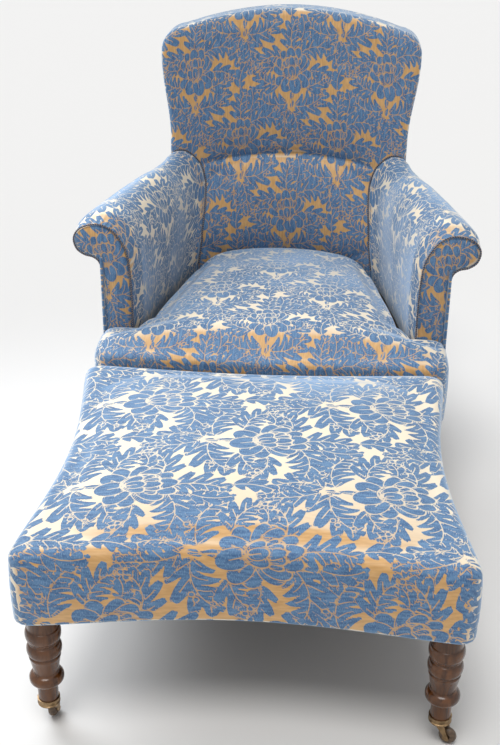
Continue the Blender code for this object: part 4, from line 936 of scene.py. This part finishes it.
def weave_material(name, dark, light, pitch):
    """A plain weave seen from any side."""
    n = Nodes(name)
    inputs = {"Vector": n.place(), "Scale": 0.32 / pitch, "Distortion": 0.6}
    x, y, z = (n.node("TexWave", inputs, bands_direction=axis).outputs["Fac"] for axis in "XYZ")
    height = n.math("MULTIPLY", n.math("ADD", x, z), n.math("ADD", y, 0.4))
    return n.finish(Base_Color=n.blend(n.ramp(height, 0.1, 1.2), dark, light), Roughness=0.95,
                    Normal=n.bump(height, 0.5, pitch * 0.3), Specular_IOR_Level=0.2)


DAMASK_CLOTH = damask_material()
CORD = cord_material()
POLISHED = wood_material("turned_wood", (0.050, 0.016, 0.004), (0.135, 0.048, 0.012), 0.26, 0.45)
BEECH = wood_material("frame_wood", (0.420, 0.270, 0.140), (0.600, 0.420, 0.240), 0.6, 0.0,
                      (0.12, 1.0, 1.0))
BRASS = plain_material("brass", (0.260, 0.175, 0.095), 0.38, 1.0, 160.0, 0.35)
BOWL = plain_material("castor_wheel", (0.110, 0.070, 0.042), 0.38, 0.0, 220.0, 0.40)
STEEL = plain_material("spring_steel", (0.300, 0.300, 0.310), 0.42, 1.0)
JUTE = weave_material("webbing", (0.300, 0.210, 0.110), (0.600, 0.470, 0.290), 0.0022)
CAMBRIC = weave_material("lining", (0.008, 0.008, 0.010), (0.035, 0.035, 0.040), 0.0009)
FRAME_FINISHES = (
    # word in the node's name, material, width of the softened edges
    ("dust_cover", CAMBRIC, 0.0), ("webbing", JUTE, 0.0), ("springs", STEEL, 0.0),
    ("_fork", BRASS, 0.0006), ("back_post", POLISHED, 0.002), ("rail", BEECH, 0.002),
    ("stump", BEECH, 0.002),
)


# Covers

def edge_profile(depth, turned, share=1.0):
    """A rounded edge and wall, as (out, down, path) steps from the face's brow to the hem."""
    quarter = np.radians(np.linspace(0, 90, max(4, round(turned * 1.571 / SPACING)) + 1))[1:]
    wall = np.linspace(turned, depth, max(2, round((depth - turned) / SPACING)) + 1)[1:]
    out = np.concatenate([turned * np.sin(quarter), np.full(len(wall), turned)]) * share
    down = np.concatenate([turned * (1 - np.cos(quarter)), wall])
    path = np.cumsum(np.hypot(np.diff(out, prepend=0.0), np.diff(down, prepend=0.0)))
    return list(zip(out, down, path))


def seat_outline():
    """Sides of the seat's brow: the front, three of the right half, and the rear."""
    reach = EAR_HALF - EDGE_ROUND
    radius = SEAT_CORNER - EDGE_ROUND
    x = np.linspace(-1, 1, 81) * (reach - radius)
    bow = join(x, EDGE_ROUND - SEAT_BOW * (1 - (x / SEAT_HALF) ** 2))
    centre = (reach - radius, bow[-1, 1] + radius)
    low = arc(centre, radius, -88, -45)
    front = np.concatenate([(low * MIRROR)[::-1], bow[1:-1], low])
    ear = EAR_BACK - EAR_CORNER
    notch = FRONT_INNER - EAR_NOTCH
    outer = (reach - EAR_CORNER, ear - EAR_CORNER)
    right = np.concatenate([arc(centre, radius, -45, 0), arc(outer, EAR_CORNER, 0, 45)])
    shelf = np.concatenate([arc(outer, EAR_CORNER, 45, 90), [(notch + EAR_CORNER, ear)],
                            arc((notch + EAR_CORNER, ear + EAR_CORNER), EAR_CORNER, -90, -150)])
    feet = [arm_skin(share)[FOOT_STEP] for share in SEAT_SIDE_SHARES]
    inner = spline([shelf[-1], *((foot[0] - SEAT_ARM_GAP, foot[1]) for foot in feet)])
    corner = inner[-1, 0] - SEAT_REAR_CORNER
    inner = np.concatenate([inner, arc((corner, inner[-1, 1]), SEAT_REAR_CORNER, 5, 45)])
    x = np.linspace(corner + SEAT_REAR_CORNER / 2, -corner - SEAT_REAR_CORNER / 2, 61)
    rear = join(x, back_face(x, SEAT_EDGE) - EDGE_ROUND * 0.9)
    rear[0] = mix(rear[0], inner[-1], 0.7)
    rear[-1] = rear[0] * MIRROR
    rear = spline(rear[::6])
    rear = np.concatenate([inner[-1:], rear[2:-2], inner[-1:] * MIRROR])
    return front, right, shelf, inner, rear


def make_seat():
    """The sprung seat, with its front border and the ears in front of the arms."""
    front, right, shelf, inner, rear = seat_outline()
    left, left_shelf, left_inner = ((part * MIRROR)[::-1] for part in (right, shelf, inner))
    middle = np.stack([shelf[-1], shelf[-1] * MIRROR])
    up, ear, shared, deep = (steps(travel(part)[-1]) for part in (right, shelf, middle, inner))
    across = 2 * ear + shared
    low = even((front, right, shelf, middle, left_shelf, left), (across, up, ear, shared, ear, up))
    high = even((middle[::-1], inner, rear, left_inner), (shared, deep, shared, deep))
    near = patch(low, across, up)
    far = patch(high, shared, deep)[1:]
    shell = Shell()
    first = shell.add(seat_top(near), seat_cloth(near))
    rest = shell.add(seat_top(far), seat_cloth(far))
    second = np.concatenate([first[-1:, ear:ear + shared + 1], rest])
    shell.quads(first)
    shell.quads(second)
    ring = np.concatenate([
        first[0, :-1], first[:-1, -1], first[-1, :ear + shared:-1],
        second[:-1, -1], second[-1, :0:-1], second[:0:-1, 0],
        first[-1, ear:0:-1], first[:0:-1, 0],
    ])
    x, y, z = np.concatenate(shell.points)[ring].T
    flat = join(x, y)
    away = outward(flat, 6)
    cloth = seat_cloth(flat)
    tight = away * np.where(y > EAR_BACK - EAR_TIGHT, SEAT_REAR_SHARE, 1.0)[:, None]
    floor = np.where(y < EAR_BACK - 2 * EAR_CORNER, RAIL_BASE, EAR_FLOOR)
    floor = relax(np.where(y > EAR_BACK + EAR_CLEAR, SEAT_FLOOR, floor), 2)
    full = SEAT_EDGE - RAIL_BASE
    rows = []
    for out, down, path in edge_profile(full, EDGE_ROUND):
        sag = SEAT_SAG * math.sin(math.pi * min(1.0, down / full)) if down > EDGE_ROUND else 0.0
        spread = flat + tight * (out + sag)
        rows.append((join(*spread.T, z - down / full * (z - floor)), cloth + away * path))
    for drawn, rise in HEM:
        spread = flat + tight * (EDGE_ROUND + drawn)
        rows.append((join(*spread.T, floor + rise), cloth + away * path))
    rows.append((join(*spread.T, SEAT_ROOF), cloth))
    shell.faces.append(shell.carry(ring, rows).tolist())
    obj = shell.cover("seat_cover", "chair", ("seat_pad",))
    soften(obj, np.concatenate(shell.points)[ring])


def seat_top(flat):
    """Crowned face of the seat."""
    x, y = flat[..., 0], flat[..., 1]
    wide = mix(EAR_HALF - EDGE_ROUND, FRONT_INNER - EDGE_ROUND, smooth((y - 0.070) / 0.060))
    wide = wide - 0.080 * smooth((y - 0.20) / 0.45)
    across = 1 - np.clip(np.abs(x) / wide, 0, 1) ** 3.0
    near = np.clip((SEAT_HEART + 0.02 - y) / (SEAT_HEART + 0.02), 0, 1)
    far = np.clip((y - SEAT_HEART - 0.10) / 0.50, 0, 1)
    along = 1 - near ** 2.2 - far ** 2.2 * 0.85
    z = SEAT_EDGE + SEAT_CROWN * np.clip(across, 0, 1) ** 0.8 * np.clip(along, 0, 1)
    z = z + RIPPLE * ripple(flat, 0.16, 3) * np.clip(across * along, 0, 1)
    feet = np.array([arm_skin(share)[FOOT_STEP, :2] for share in np.linspace(0, 0.9, 10)])
    edge = np.interp(y, feet[:, 1], feet[:, 0] - SEAT_ARM_GAP)
    beside = smooth(1 - (edge - np.abs(x)) / SEAT_ARM_GAP) * smooth((y - 0.150) / 0.050)
    z = z - ARM_DIP * beside * smooth((0.62 - y) / 0.10)
    z = z - FRONT_DIP * smooth(1 - (y + SEAT_BOW - EDGE_ROUND) / 0.060)
    return join(x, y, z)


def seat_cloth(flat):
    """Cloth places of the seat, upright as seen from the front."""
    return flat + np.array(SEAT_CLOTH_SHIFT)


def stool_outline():
    """Sides of the stool's brow, from the front round to the left."""
    reach = (STOOL_HALF - STOOL_CORNER, STOOL_DEPTH / 2 - STOOL_CORNER)
    radius = STOOL_CORNER - EDGE_ROUND
    arcs = []
    for across, along, start in ((1, -1, -90), (1, 1, 0), (-1, 1, 90), (-1, -1, 180)):
        centre = (across * reach[0], along * reach[1])
        arcs.append([arc(centre, radius, turn, turn + 45, 8) for turn in (start, start + 45)])
    parts = []
    for i, hollow in enumerate(STOOL_HOLLOWS):
        near, far = arcs[i][1], arcs[(i + 1) % 4][0]
        start, end = near[-1], far[0]
        inward = unit(np.array([start[1] - end[1], end[0] - start[0]]))
        share = np.linspace(0, 1, 41)[1:-1, None]
        side = mix(start, end, share) + inward * hollow * np.sin(math.pi * share) ** 1.15
        parts.append(np.concatenate([near, side, far]))
    return parts[-1:] + parts[:-1]


def make_stool():
    """The footstool's cover: crowned top, drawn-in sides and border."""
    loop, across, up = sides(stool_outline(), STOOL_SPACING)
    flat = patch(loop, across, up)
    half = np.array([STOOL_HALF - EDGE_ROUND, STOOL_DEPTH / 2 - EDGE_ROUND])
    ring_share = (np.abs(flat / half) ** STOOL_ROUNDNESS).sum(axis=-1) ** (1 / STOOL_ROUNDNESS)
    fade = edge_fade(flat.shape[:2], 14)
    z = STOOL_EDGE + STOOL_CROWN * (1 - np.minimum(1, ring_share) ** 2.6) * fade
    z = z + RIPPLE * ripple(flat, 0.18, 5) * fade
    shell = Shell()
    numbers = shell.add(np.dstack([flat, z]), stool_cloth(flat))
    shell.quads(numbers)
    ring = rim(numbers)
    away = outward(loop, 3)
    cloth = stool_cloth(loop)
    rows = []
    for out, down, path in edge_profile(STOOL_EDGE - RAIL_BASE, EDGE_ROUND):
        sag = STOOL_SAG * math.sin(math.pi * max(0.0, down - EDGE_ROUND) / STOOL_WALL)
        spread = loop + away * (out + sag)
        rows.append((join(*spread.T, STOOL_EDGE - down), cloth + stool_cloth(away) * path))
    for drawn, rise in (*HEM, (HEM[-1][0], STOOL_HOLLOW)):
        spread = loop + away * (EDGE_ROUND + drawn)
        rows.append((join(*spread.T, RAIL_BASE + rise), cloth))
    shell.faces.append(shell.carry(ring, rows).tolist())
    obj = shell.cover("stool_cover", "stool", ("stool_pad",))
    soften(obj, np.concatenate(shell.points)[ring])


def stool_cloth(flat):
    """Cloth places of the stool, whose cloth lies a quarter turn round."""
    return join(-flat[..., 1], flat[..., 0]) / STOOL_REPEAT


def make_back():
    """The inside back and its lumbar roll, with the border that wraps round to the rear."""
    z = np.linspace(BACK_FLOOR, SHOULDER_Z, 80)
    inset = SHOULDER_HALF - CREST_CORNER
    centre = (inset, crest_height(inset) - CREST_CORNER)
    right = np.concatenate([join(back_half(z), z), arc(centre, CREST_CORNER, 0, 45, 10)[1:]])
    high = arc(centre, CREST_CORNER, 45, 88, 10)
    x = np.linspace(inset - CREST_GAP, CREST_GAP - inset, 60)
    top = np.concatenate([high, join(x, crest_height(x)), (high * MIRROR)[::-1]])
    bottom = join(np.linspace(-BASE_HALF, BASE_HALF, 60), BACK_FLOOR)
    loop, across, up = sides([bottom, right, top, (right * MIRROR)[::-1]])
    away = outward(loop, 3)
    brow = loop - away * BACK_ROUND * BACK_ROUND_SHARE
    brow[:across + 1, 1] = BACK_FLOOR
    flat = patch(brow, across, up)
    x, z = flat[..., 0], flat[..., 1]
    fade = edge_fade(flat.shape[:2], 10)
    puff = BACK_PUFF * (1 - (x / SHOULDER_HALF) ** 4) * smooth((z - PUFF_Z) / PUFF_REACH) * fade
    swell = lumbar_swell(x, z) + puff + RIPPLE * ripple(flat, 0.17, 8) * fade
    shell = Shell()
    numbers = shell.add(behind(flat, -swell), back_cloth(flat))
    shell.quads(numbers)
    ring = rim(numbers)
    cloth = back_cloth(brow)
    rows = []
    for out, down, path in edge_profile(BACK_THICK, BACK_ROUND, BACK_ROUND_SHARE):
        spread = brow + away * out
        spread[:, 1] = np.maximum(spread[:, 1], BACK_FLOOR)
        rows.append((behind(spread, down), cloth + away * path))
    for drawn, depth in BACK_TUCKS:
        path += TUCK_STEP
        spread = loop - away * drawn
        spread[:across + 1, 1] = BACK_FLOOR + TUCK_RISE
        rows.append((behind(spread, depth), cloth + away * path))
    lining = loop - away * LINING_INSET
    lining[:across + 1, 1] = BACK_FLOOR + LINING_RISE
    coarse_lining(shell, shell.carry(ring, rows), lining, across, up)
    obj = shell.cover("back_cover", "chair", ("back_pad", "lumbar_pad"))
    soften(obj, np.concatenate(shell.points)[ring])


def coarse_lining(shell, ring, loop, across, up):
    """Close the back's cover behind its last ring with a patch of a quarter of the steps."""
    numbers = shell.add(behind(patch(loop[::4], across // 4, up // 4), BACK_SKIN))
    shell.quads(numbers)
    inner = rim(numbers).tolist()
    for k, number in enumerate(inner):
        fine = np.take(ring, range(4 * k, 4 * k + 5), mode="wrap")
        shell.faces.append([*fine[::-1].tolist(), number, inner[(k + 1) % len(inner)]])


def back_cloth(flat):
    """Cloth places of the back: across along its hollow, and up."""
    x, z = flat[..., 0], flat[..., 1]
    slope = BACK_HOLLOW / BACK_REF ** 2
    return join(x * (1 + (2 * slope * x) ** 2 / 6), z * 1.02) + np.array(BACK_CLOTH_SHIFT)


def make_arm(key, side):
    """Cover of an arm, rolled over its rail from the foot inside to the scroll's tip."""
    girth = steps(ARM_GIRTH)
    length = steps(ARM_LENGTH)
    shares = np.linspace(0, 1, length + 1)
    lines = np.stack([resample(arm_skin(share, ARM_REACH), girth + 1) for share in shares])
    u = travel(lines[:, girth // 2])[:, None]
    v = np.stack([travel(line) for line in lines])
    v = v - v[:, girth // 2:girth // 2 + 1]
    normal = unit(np.cross(np.gradient(lines, axis=0), np.gradient(lines, axis=1)))
    if normal[length // 2, girth // 2, 2] < 0:
        normal = -normal
    t = np.linspace(0, 1, girth + 1)[None, :]
    s = shares[:, None]
    gather = np.sin(2 * math.pi * (v / GATHER_PITCH) + 1.5 * np.sin(v * 90))
    front = np.exp(-u / GATHER_FRONT) * smooth(u / GATHER_START)
    rear = np.exp((u - u[-1] * SEAM_SHARE) / GATHER_REAR) * (s < SEAM_SHARE)
    scroll = smooth((t - 0.25) / 0.2) * smooth((0.97 - t) / 0.06)
    swell = GATHER_HIGH * gather * (front * scroll + 0.5 * rear * smooth(t / 0.2))
    drawn = SEAM_DEEP * np.exp(-((s - SEAM_SHARE) * u[-1] / SEAM_WIDE) ** 2) * smooth((0.9 - t) / 0.2)
    pull = PULL_DEEP * np.exp(-u / PULL_WIDE)
    uneven = RIPPLE * ripple(join(v, u), 0.12, 11) * smooth(s / 0.1)
    lines = lines + normal * (swell - drawn - pull + uneven)[..., None]
    hollow = np.stack([arm_place(HOLLOW_FRONT_SHARES, HOLLOW_REAR_SHARES, share, ARM_REACH)
                       for share in shares])
    shell = Shell()
    flip = np.array([side, 1.0, 1.0])
    grid = np.concatenate([shell.add(lines * flip, join(-u, v)), shell.add(hollow * flip)], axis=1)
    shell.quads(grid, close=True)
    shell.caps(grid)
    obj = shell.cover("arm_cover_" + key, "chair", ("inside_arm_" + key,))


def fill_outline(loop):
    """Points inside a closed loop and the triangles that fill it."""
    low, high = loop.min(axis=0), loop.max(axis=0)
    x, y = np.meshgrid(np.arange(low[0], high[0], SPACING), np.arange(low[1], high[1], SPACING))
    x[1::2] += SPACING / 2
    spots = join(x.ravel(), y.ravel())
    start, end = loop, np.roll(loop, -1, axis=0)
    above = (start[:, 1] > spots[:, 1:]) != (end[:, 1] > spots[:, 1:])
    rise = np.where(end[:, 1] == start[:, 1], 1e-9, end[:, 1] - start[:, 1])
    cross = start[:, 0] + (spots[:, 1:] - start[:, 1]) / rise * (end[:, 0] - start[:, 0])
    inside = (above & (spots[:, :1] < cross)).sum(axis=1) % 2 == 1
    spots = spots[inside & (nearest(spots, loop) > SPACING * 0.6)]
    edges = [(i, (i + 1) % len(loop)) for i in range(len(loop))]
    vectors = [Vector(point) for point in np.concatenate([loop, spots])]
    made = delaunay_2d_cdt(vectors, edges, [], 1, 1e-7)
    return np.array([tuple(point) for point in made[0]]), made[2]


def make_facing(key, side):
    """Padded front of an arm inside its piping."""
    outline = facing_outline()
    line = resample(outline, round(travel(outline)[-1] / SPACING))
    base = resample(np.stack([line[-1], line[0]]), round(FACING_BASE / SPACING))[1:-1]
    loop = np.concatenate([line, base])[::-1]
    away = outward(loop)
    inner = loop - away * FACING_INSET
    flat, faces = fill_outline(inner - away * FACING_MARGIN)
    dome = FACING_DOME * smooth(nearest(flat, inner) / FACING_DOME_REACH)
    dome = dome + FACING_RIPPLE * ripple(flat, 0.05, 4)
    across = np.array([side, 1.0])
    shell = Shell()
    face = shell.add(join(flat[:, 0] * side, FACING_Y - dome, flat[:, 1]), flat * across)
    shell.faces += [face[list(corners)].tolist() for corners in faces]
    rows = []
    for drawn, y in FACING_EDGE:
        spread = (inner - away * drawn) * across
        rows.append((join(spread[:, 0], y, spread[:, 1]), spread))
    shell.faces.append(shell.carry(face[:len(inner)], rows).tolist())
    if side < 0:
        shell.faces = [corners[::-1] for corners in shell.faces]
    obj = shell.cover("arm_front_" + key, "chair", ("arm_facing_" + key,))


def make_outside_arm(key, side):
    """Flat cover on the outer side of an arm, which runs in under the seat's ear."""
    s = np.linspace(0, 1, round(SIDE_LONG / SPACING) + 1)[:, None]
    t = np.linspace(0, 1, round(SIDE_TALL / SPACING) + 1)[None, :]
    x = mix(EAR_HALF + CLEAR, SIDE_REAR_X, s) + SIDE_BOW * np.sin(math.pi * s)
    z = mix(RAIL_BASE, mix(SIDE_FRONT_Z, SIDE_REAR_Z, s), t)
    y = mix(EAR_BACK, back_face(x, z) + ARM_REACH, s)
    grid = join(x + SIDE_FULL * np.sin(math.pi * s) * np.sin(math.pi * t), y, z)
    under = grid[0, :np.searchsorted(z[0], EAR_FLOOR)]
    tucks = np.array(EAR_TUCKS)[:, None]
    tucked = under[None] - join(EAR_SINK, tucks, 0.0)
    flip = np.array([side, 1.0, 1.0])
    shell = Shell()
    numbers = shell.add(grid * flip, join(travel(grid[:, 0])[:, None] * side, z))
    front = shell.add(tucked * flip, join(-tucks * side, tucked[..., 2]))
    front = np.concatenate([front, numbers[:1, :len(under)]])
    for part in (numbers, front):
        shell.quads(part if side < 0 else part.T)
    obj = shell.cover("outside_arm_cover_" + key, "chair", ("outside_arm_" + key,), closed=False)
    thicken(obj, SIDE_THICK)


def make_outside_back():
    """Cover on the rear of the back, inside the border's edge."""
    inset = SHOULDER_HALF - CREST_CORNER
    count = round(2 * SHOULDER_HALF / PLAIN_SPACING / 2) * 2
    across = np.linspace(1, -1, count + 1)[:, None]
    x = np.abs(across) * (SHOULDER_HALF - CREST_CORNER * 0.30)
    corner = np.sqrt(CREST_CORNER ** 2 - np.maximum(0.0, x - inset) ** 2)
    roof = crest_height(np.minimum(x, inset)) - CREST_CORNER + corner
    roof = mix(TUB_TOP_Z, roof, 1 - REAR_INSET / (CREST_Z - TUB_TOP_Z))
    z = mix(BACK_FLOOR + REAR_SINK, roof, np.linspace(0, 1, round(REAR_TALL / PLAIN_SPACING) + 1))
    wide = across * back_half(np.minimum(z, SHOULDER_Z)) * (1 - REAR_INSET / SHOULDER_HALF)
    shell = Shell()
    shell.quads(shell.add(behind(join(wide, z), BACK_THICK - REAR_SINK), join(-wide, z)))
    obj = shell.cover("outside_back_cover", "chair", ("outside_back",), closed=False)
    thicken(obj, REAR_THICK)


# Cords, legs and castors

def make_cord(name, line, replaced):
    """A twisted cord along a line of points."""
    count = round(travel(line)[-1] / CORD_STEP)
    line = resample(line, count + 1)
    along = unit(np.gradient(line, axis=0))
    right = unit(np.cross(along, CORD_UP))
    top = np.cross(right, along)
    angles = np.linspace(0, 2 * math.pi, 15)[:-1]
    path = np.arange(count + 1)[:, None] * CORD_STEP
    reach = PIPING * (0.90 + 0.10 * np.cos(2 * (angles - path * 2 * math.pi / CORD_PITCH)))
    points = (line[:, None] + right[:, None] * (np.cos(angles) * reach)[..., None]
              + top[:, None] * (np.sin(angles) * reach)[..., None])
    shell = Shell()
    numbers = shell.add(points, join(path, angles / (2 * math.pi)))
    shell.quads(numbers, close=True)
    shell.caps(numbers)
    shell.settle("chair")
    shell.object(name, CORD, "chair", (replaced,))


def make_piping(key, side):
    """Cords around an arm's front and where the arm meets the back."""
    loop = facing_outline()[::-1]
    inner = (loop - outward(loop) * PIPING)[2:-2]
    front = join(inner[:, 0] * side, ARM_START - PIPING - CORD_STAND, inner[:, 1])
    make_cord("front_cord_" + key, front, "front_piping_" + key)
    meets = []
    skins = np.stack([arm_skin(share, ARM_REACH) for share in np.linspace(0.78, 1.0, 56)])
    for path in skins[:, 6:118].transpose(1, 0, 2):
        x, y, z = path.T
        past = y - back_face(x, z) + lumbar_swell(x, z)
        k = int(np.argmax(past > 0))
        meet = mix(path[k - 1], path[k], past[k - 1] / (past[k - 1] - past[k]))
        if meet[0] < back_half(meet[2]) - CORD_INSET:
            meets.append(meet)
    line = np.array(meets)
    for _ in range(6):
        line[1:-1] = (line[:-2] + 2 * line[1:-1] + line[2:]) / 4
    line[:, ::2] += from_heart(line, 1.0) * PIPING * 0.9
    line[:, 1] -= PIPING * 1.1
    make_cord("rear_cord_" + key, line * (side, 1.0, 1.0), "rear_piping_" + key)


def revolve(shell, profile, place, axis=(0.0, 0.0, 1.0), pieces=48, ring=False):
    """Turn a profile of (radius, height) about an axis through a place."""
    profile = np.asarray(profile, float)
    angle = np.linspace(0, 2 * math.pi, pieces + 1)[:-1]
    turn = np.array(Vector(axis).to_track_quat("Z", "Y").to_matrix())
    radius, height = profile[:, :1], profile[:, 1:]
    points = join(radius * np.cos(angle), radius * np.sin(angle), height)
    numbers = shell.add(points @ turn.T + np.array(place))
    if ring:
        numbers = np.concatenate([numbers, numbers[:1]])
    shell.quads(numbers, close=True)
    if not ring:
        shell.caps(numbers)


def centre_of(node):
    """Middle of a node's box."""
    low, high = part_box(node)
    return (low + high) / 2


def make_leg(name, node, castor, body):
    """A turned leg under its square block."""
    place = centre_of(castor + "_cup")
    turned = spline([(r * LEG_RADIUS, LEG_FOOT + z * LEG_TALL) for r, z in LEG_SHARES], 5)
    stem = [(STEM_RADIUS, LEG_FOOT + STEM_DEEP), (STEM_RADIUS, LEG_FOOT)]
    shell = Shell()
    revolve(shell, np.concatenate([stem, turned]), (place.x, place.y, 0.0))
    half = BLOCK / 2 - CLEAR - BLOCK_CORNER
    arcs = []
    for across, along, start in ((-1, -1, -180), (1, -1, -90), (1, 1, 0), (-1, 1, 90)):
        arcs.append(arc((across * half, along * half), BLOCK_CORNER, start, start + 90, 6))
    x, y = np.concatenate(arcs).T
    cos, sin = math.cos(TURNS[body]), math.sin(TURNS[body])
    x, y = x * cos - y * sin, x * sin + y * cos
    heights = [(share, RAIL_BASE + rise) for share, rise in BLOCK_CHAMFER]
    heights.append((1.0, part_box(node)[1].z - BLOCK_SINK))
    rows = [join(x * share + place.x, y * share + place.y, z) for share, z in heights]
    numbers = shell.add(np.stack(rows))
    shell.quads(numbers, close=True)
    shell.caps(numbers)
    shell.object(name, POLISHED, body, (node,), marks=False)


def make_castor(name, body):
    """Cup and wheel of a castor; its fork is the part's own."""
    cup, node = name + "_cup", name + "_wheel"
    low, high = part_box(cup)
    place = centre_of(cup)
    radius = (high.x - low.x) / 2
    profile = [
        *((radius * share, low.z + rise) for share, rise in CUP_STEPS),
        (radius * CUP_LIP_SHARE, high.z), (radius - CUP_WALL, high.z),
        (radius - CUP_WALL, low.z + CUP_FLOOR), (STEM_RADIUS, low.z + CUP_FLOOR),
        (STEM_RADIUS, low.z),
    ]
    shell = Shell()
    revolve(shell, profile, (place.x, place.y, 0.0), ring=True)
    smooth_by_angle(shell.object(name + "_socket", BRASS, body, (cup,), marks=False))
    wheel = centre_of(node)
    axis = Vector((wheel.y - place.y, place.x - wheel.x, 0.0)).normalized()
    outer = [(reach, share * WHEEL_HALF) for reach, share in WHEEL_STEPS]
    profile = outer + [(reach, -height) for reach, height in outer[-2::-1]]
    shell = Shell()
    revolve(shell, profile, tuple(wheel), axis, pieces=40, ring=True)
    smooth_by_angle(shell.object(name + "_bowl", BOWL, node, (node,), marks=False))


def smooth_by_angle(obj):
    """Smooth shading with sharp edges where faces meet steeply."""
    obj.data.set_sharp_from_angle(angle=math.radians(35.0))


# The scene

def finish_frame():
    """Materials and softened edges for the part's own nodes that still show."""
    for name, node in frame["nodes"].items():
        for word, material, width in FRAME_FINISHES:
            if word in name:
                node.data.materials.clear()
                node.data.materials.append(material)
                if width:
                    bevel = node.modifiers.new("Edges", "BEVEL")
                    bevel.width = width
                    bevel.segments = 2
                    bevel.limit_method = "ANGLE"
                    bevel.angle_limit = math.radians(50)
                break


def heading(turn, dip):
    """The direction that dips by an angle, along +Y at a turn of 0 and along +X at 90 degrees."""
    return Vector((math.sin(turn) * math.cos(dip), math.cos(turn) * math.cos(dip), -math.sin(dip)))


def make_camera():
    """The camera of the photograph."""
    data = bpy.data.cameras.new("camera")
    data.sensor_width = SENSOR
    data.lens = CAMERA_LENS
    camera = stand("camera", data)
    forward = heading(CAMERA_YAW, CAMERA_PITCH)
    level = Vector((math.cos(CAMERA_YAW), -math.sin(CAMERA_YAW), 0.0))
    rise = level.cross(forward)
    right = level * math.cos(CAMERA_ROLL) + rise * math.sin(CAMERA_ROLL)
    up = rise * math.cos(CAMERA_ROLL) - level * math.sin(CAMERA_ROLL)
    turn = Matrix((right, up, -forward)).transposed().to_4x4()
    camera.matrix_world = Matrix.Translation(CAMERA_PLACE) @ turn
    bpy.context.scene.camera = camera


def make_sky():
    """An even sky, which looks like the floor where the camera and mirroring faces see it."""
    world = bpy.data.worlds.new("sky")
    world.use_nodes = True
    nodes, links = world.node_tree.nodes, world.node_tree.links
    background = nodes["Background"]
    background.inputs["Color"].default_value = (1.0, 1.0, 1.0, 1.0)
    background.inputs["Strength"].default_value = SKY_STRENGTH
    seen = nodes.new("ShaderNodeBackground")
    seen.inputs["Color"].default_value = (*FLOOR_SEEN, 1.0)
    path = nodes.new("ShaderNodeLightPath")
    shown = path.outputs["Is Camera Ray"]
    for ray in ("Is Glossy Ray", "Is Transmission Ray"):
        most = nodes.new("ShaderNodeMath")
        most.operation = "MAXIMUM"
        links.new(shown, most.inputs[0])
        links.new(path.outputs[ray], most.inputs[1])
        shown = most.outputs[0]
    either = nodes.new("ShaderNodeMixShader")
    links.new(shown, either.inputs[0])
    links.new(background.outputs[0], either.inputs[1])
    links.new(seen.outputs[0], either.inputs[2])
    links.new(either.outputs[0], nodes["World Output"].inputs["Surface"])
    bpy.context.scene.world = world


def make_lamp(name, kind, colour, energy, aim):
    """A lamp that shines along a direction."""
    data = bpy.data.lights.new(name, kind)
    data.energy = energy
    data.color = colour
    lamp = stand(name, data)
    lamp.rotation_mode = "QUATERNION"
    lamp.rotation_quaternion = aim.to_track_quat("-Z", "Y")
    return lamp


def make_lamps():
    """A soft key from the front above, a weaker lamp from behind, and a window at the left."""
    for name, colour, strength, azimuth, elevation, spread in SUNS:
        aim = heading(math.radians(azimuth), math.radians(elevation))
        make_lamp(name, "SUN", colour, strength, aim).data.angle = math.radians(spread)
    window = make_lamp("window", "AREA", WINDOW_COLOUR, WINDOW_POWER, WINDOW_AIM - WINDOW_PLACE)
    window.location = WINDOW_PLACE
    window.data.size = WINDOW_SIZE
    window.data.spread = WINDOW_SPREAD


def make_floor():
    """A wide pale floor."""
    mesh = bpy.data.meshes.new("floor")
    corners = ((-1, -1), (1, -1), (1, 1), (-1, 1))
    mesh.from_pydata([(x * FLOOR_HALF, y * FLOOR_HALF, 0) for x, y in corners], [], [(0, 1, 2, 3)])
    n = Nodes("floor")
    mesh.materials.append(n.finish(Base_Color=FLOOR_COLOUR, Roughness=0.9, Specular_IOR_Level=0.1))
    stand("floor", mesh)


make_seat()
make_stool()
make_back()
for hand, sign in (("left", -1), ("right", 1)):
    make_arm(hand, sign)
    make_facing(hand, sign)
    make_outside_arm(hand, sign)
    make_piping(hand, sign)
    make_leg("turned_leg_" + hand, "front_leg_" + hand, "chair_castor_" + hand, "chair")
    make_castor("chair_castor_" + hand, "chair")
make_outside_back()
for spot in ("front_left", "front_right", "rear_left", "rear_right"):
    make_leg("stool_turned_leg_" + spot, "stool_leg_" + spot, "stool_castor_" + spot, "stool")
    make_castor("stool_castor_" + spot, "stool")
finish_frame()
make_floor()
make_sky()
make_lamps()
make_camera()
bpy.context.scene.view_settings.view_transform = "Standard"
bpy.context.view_layer.update()
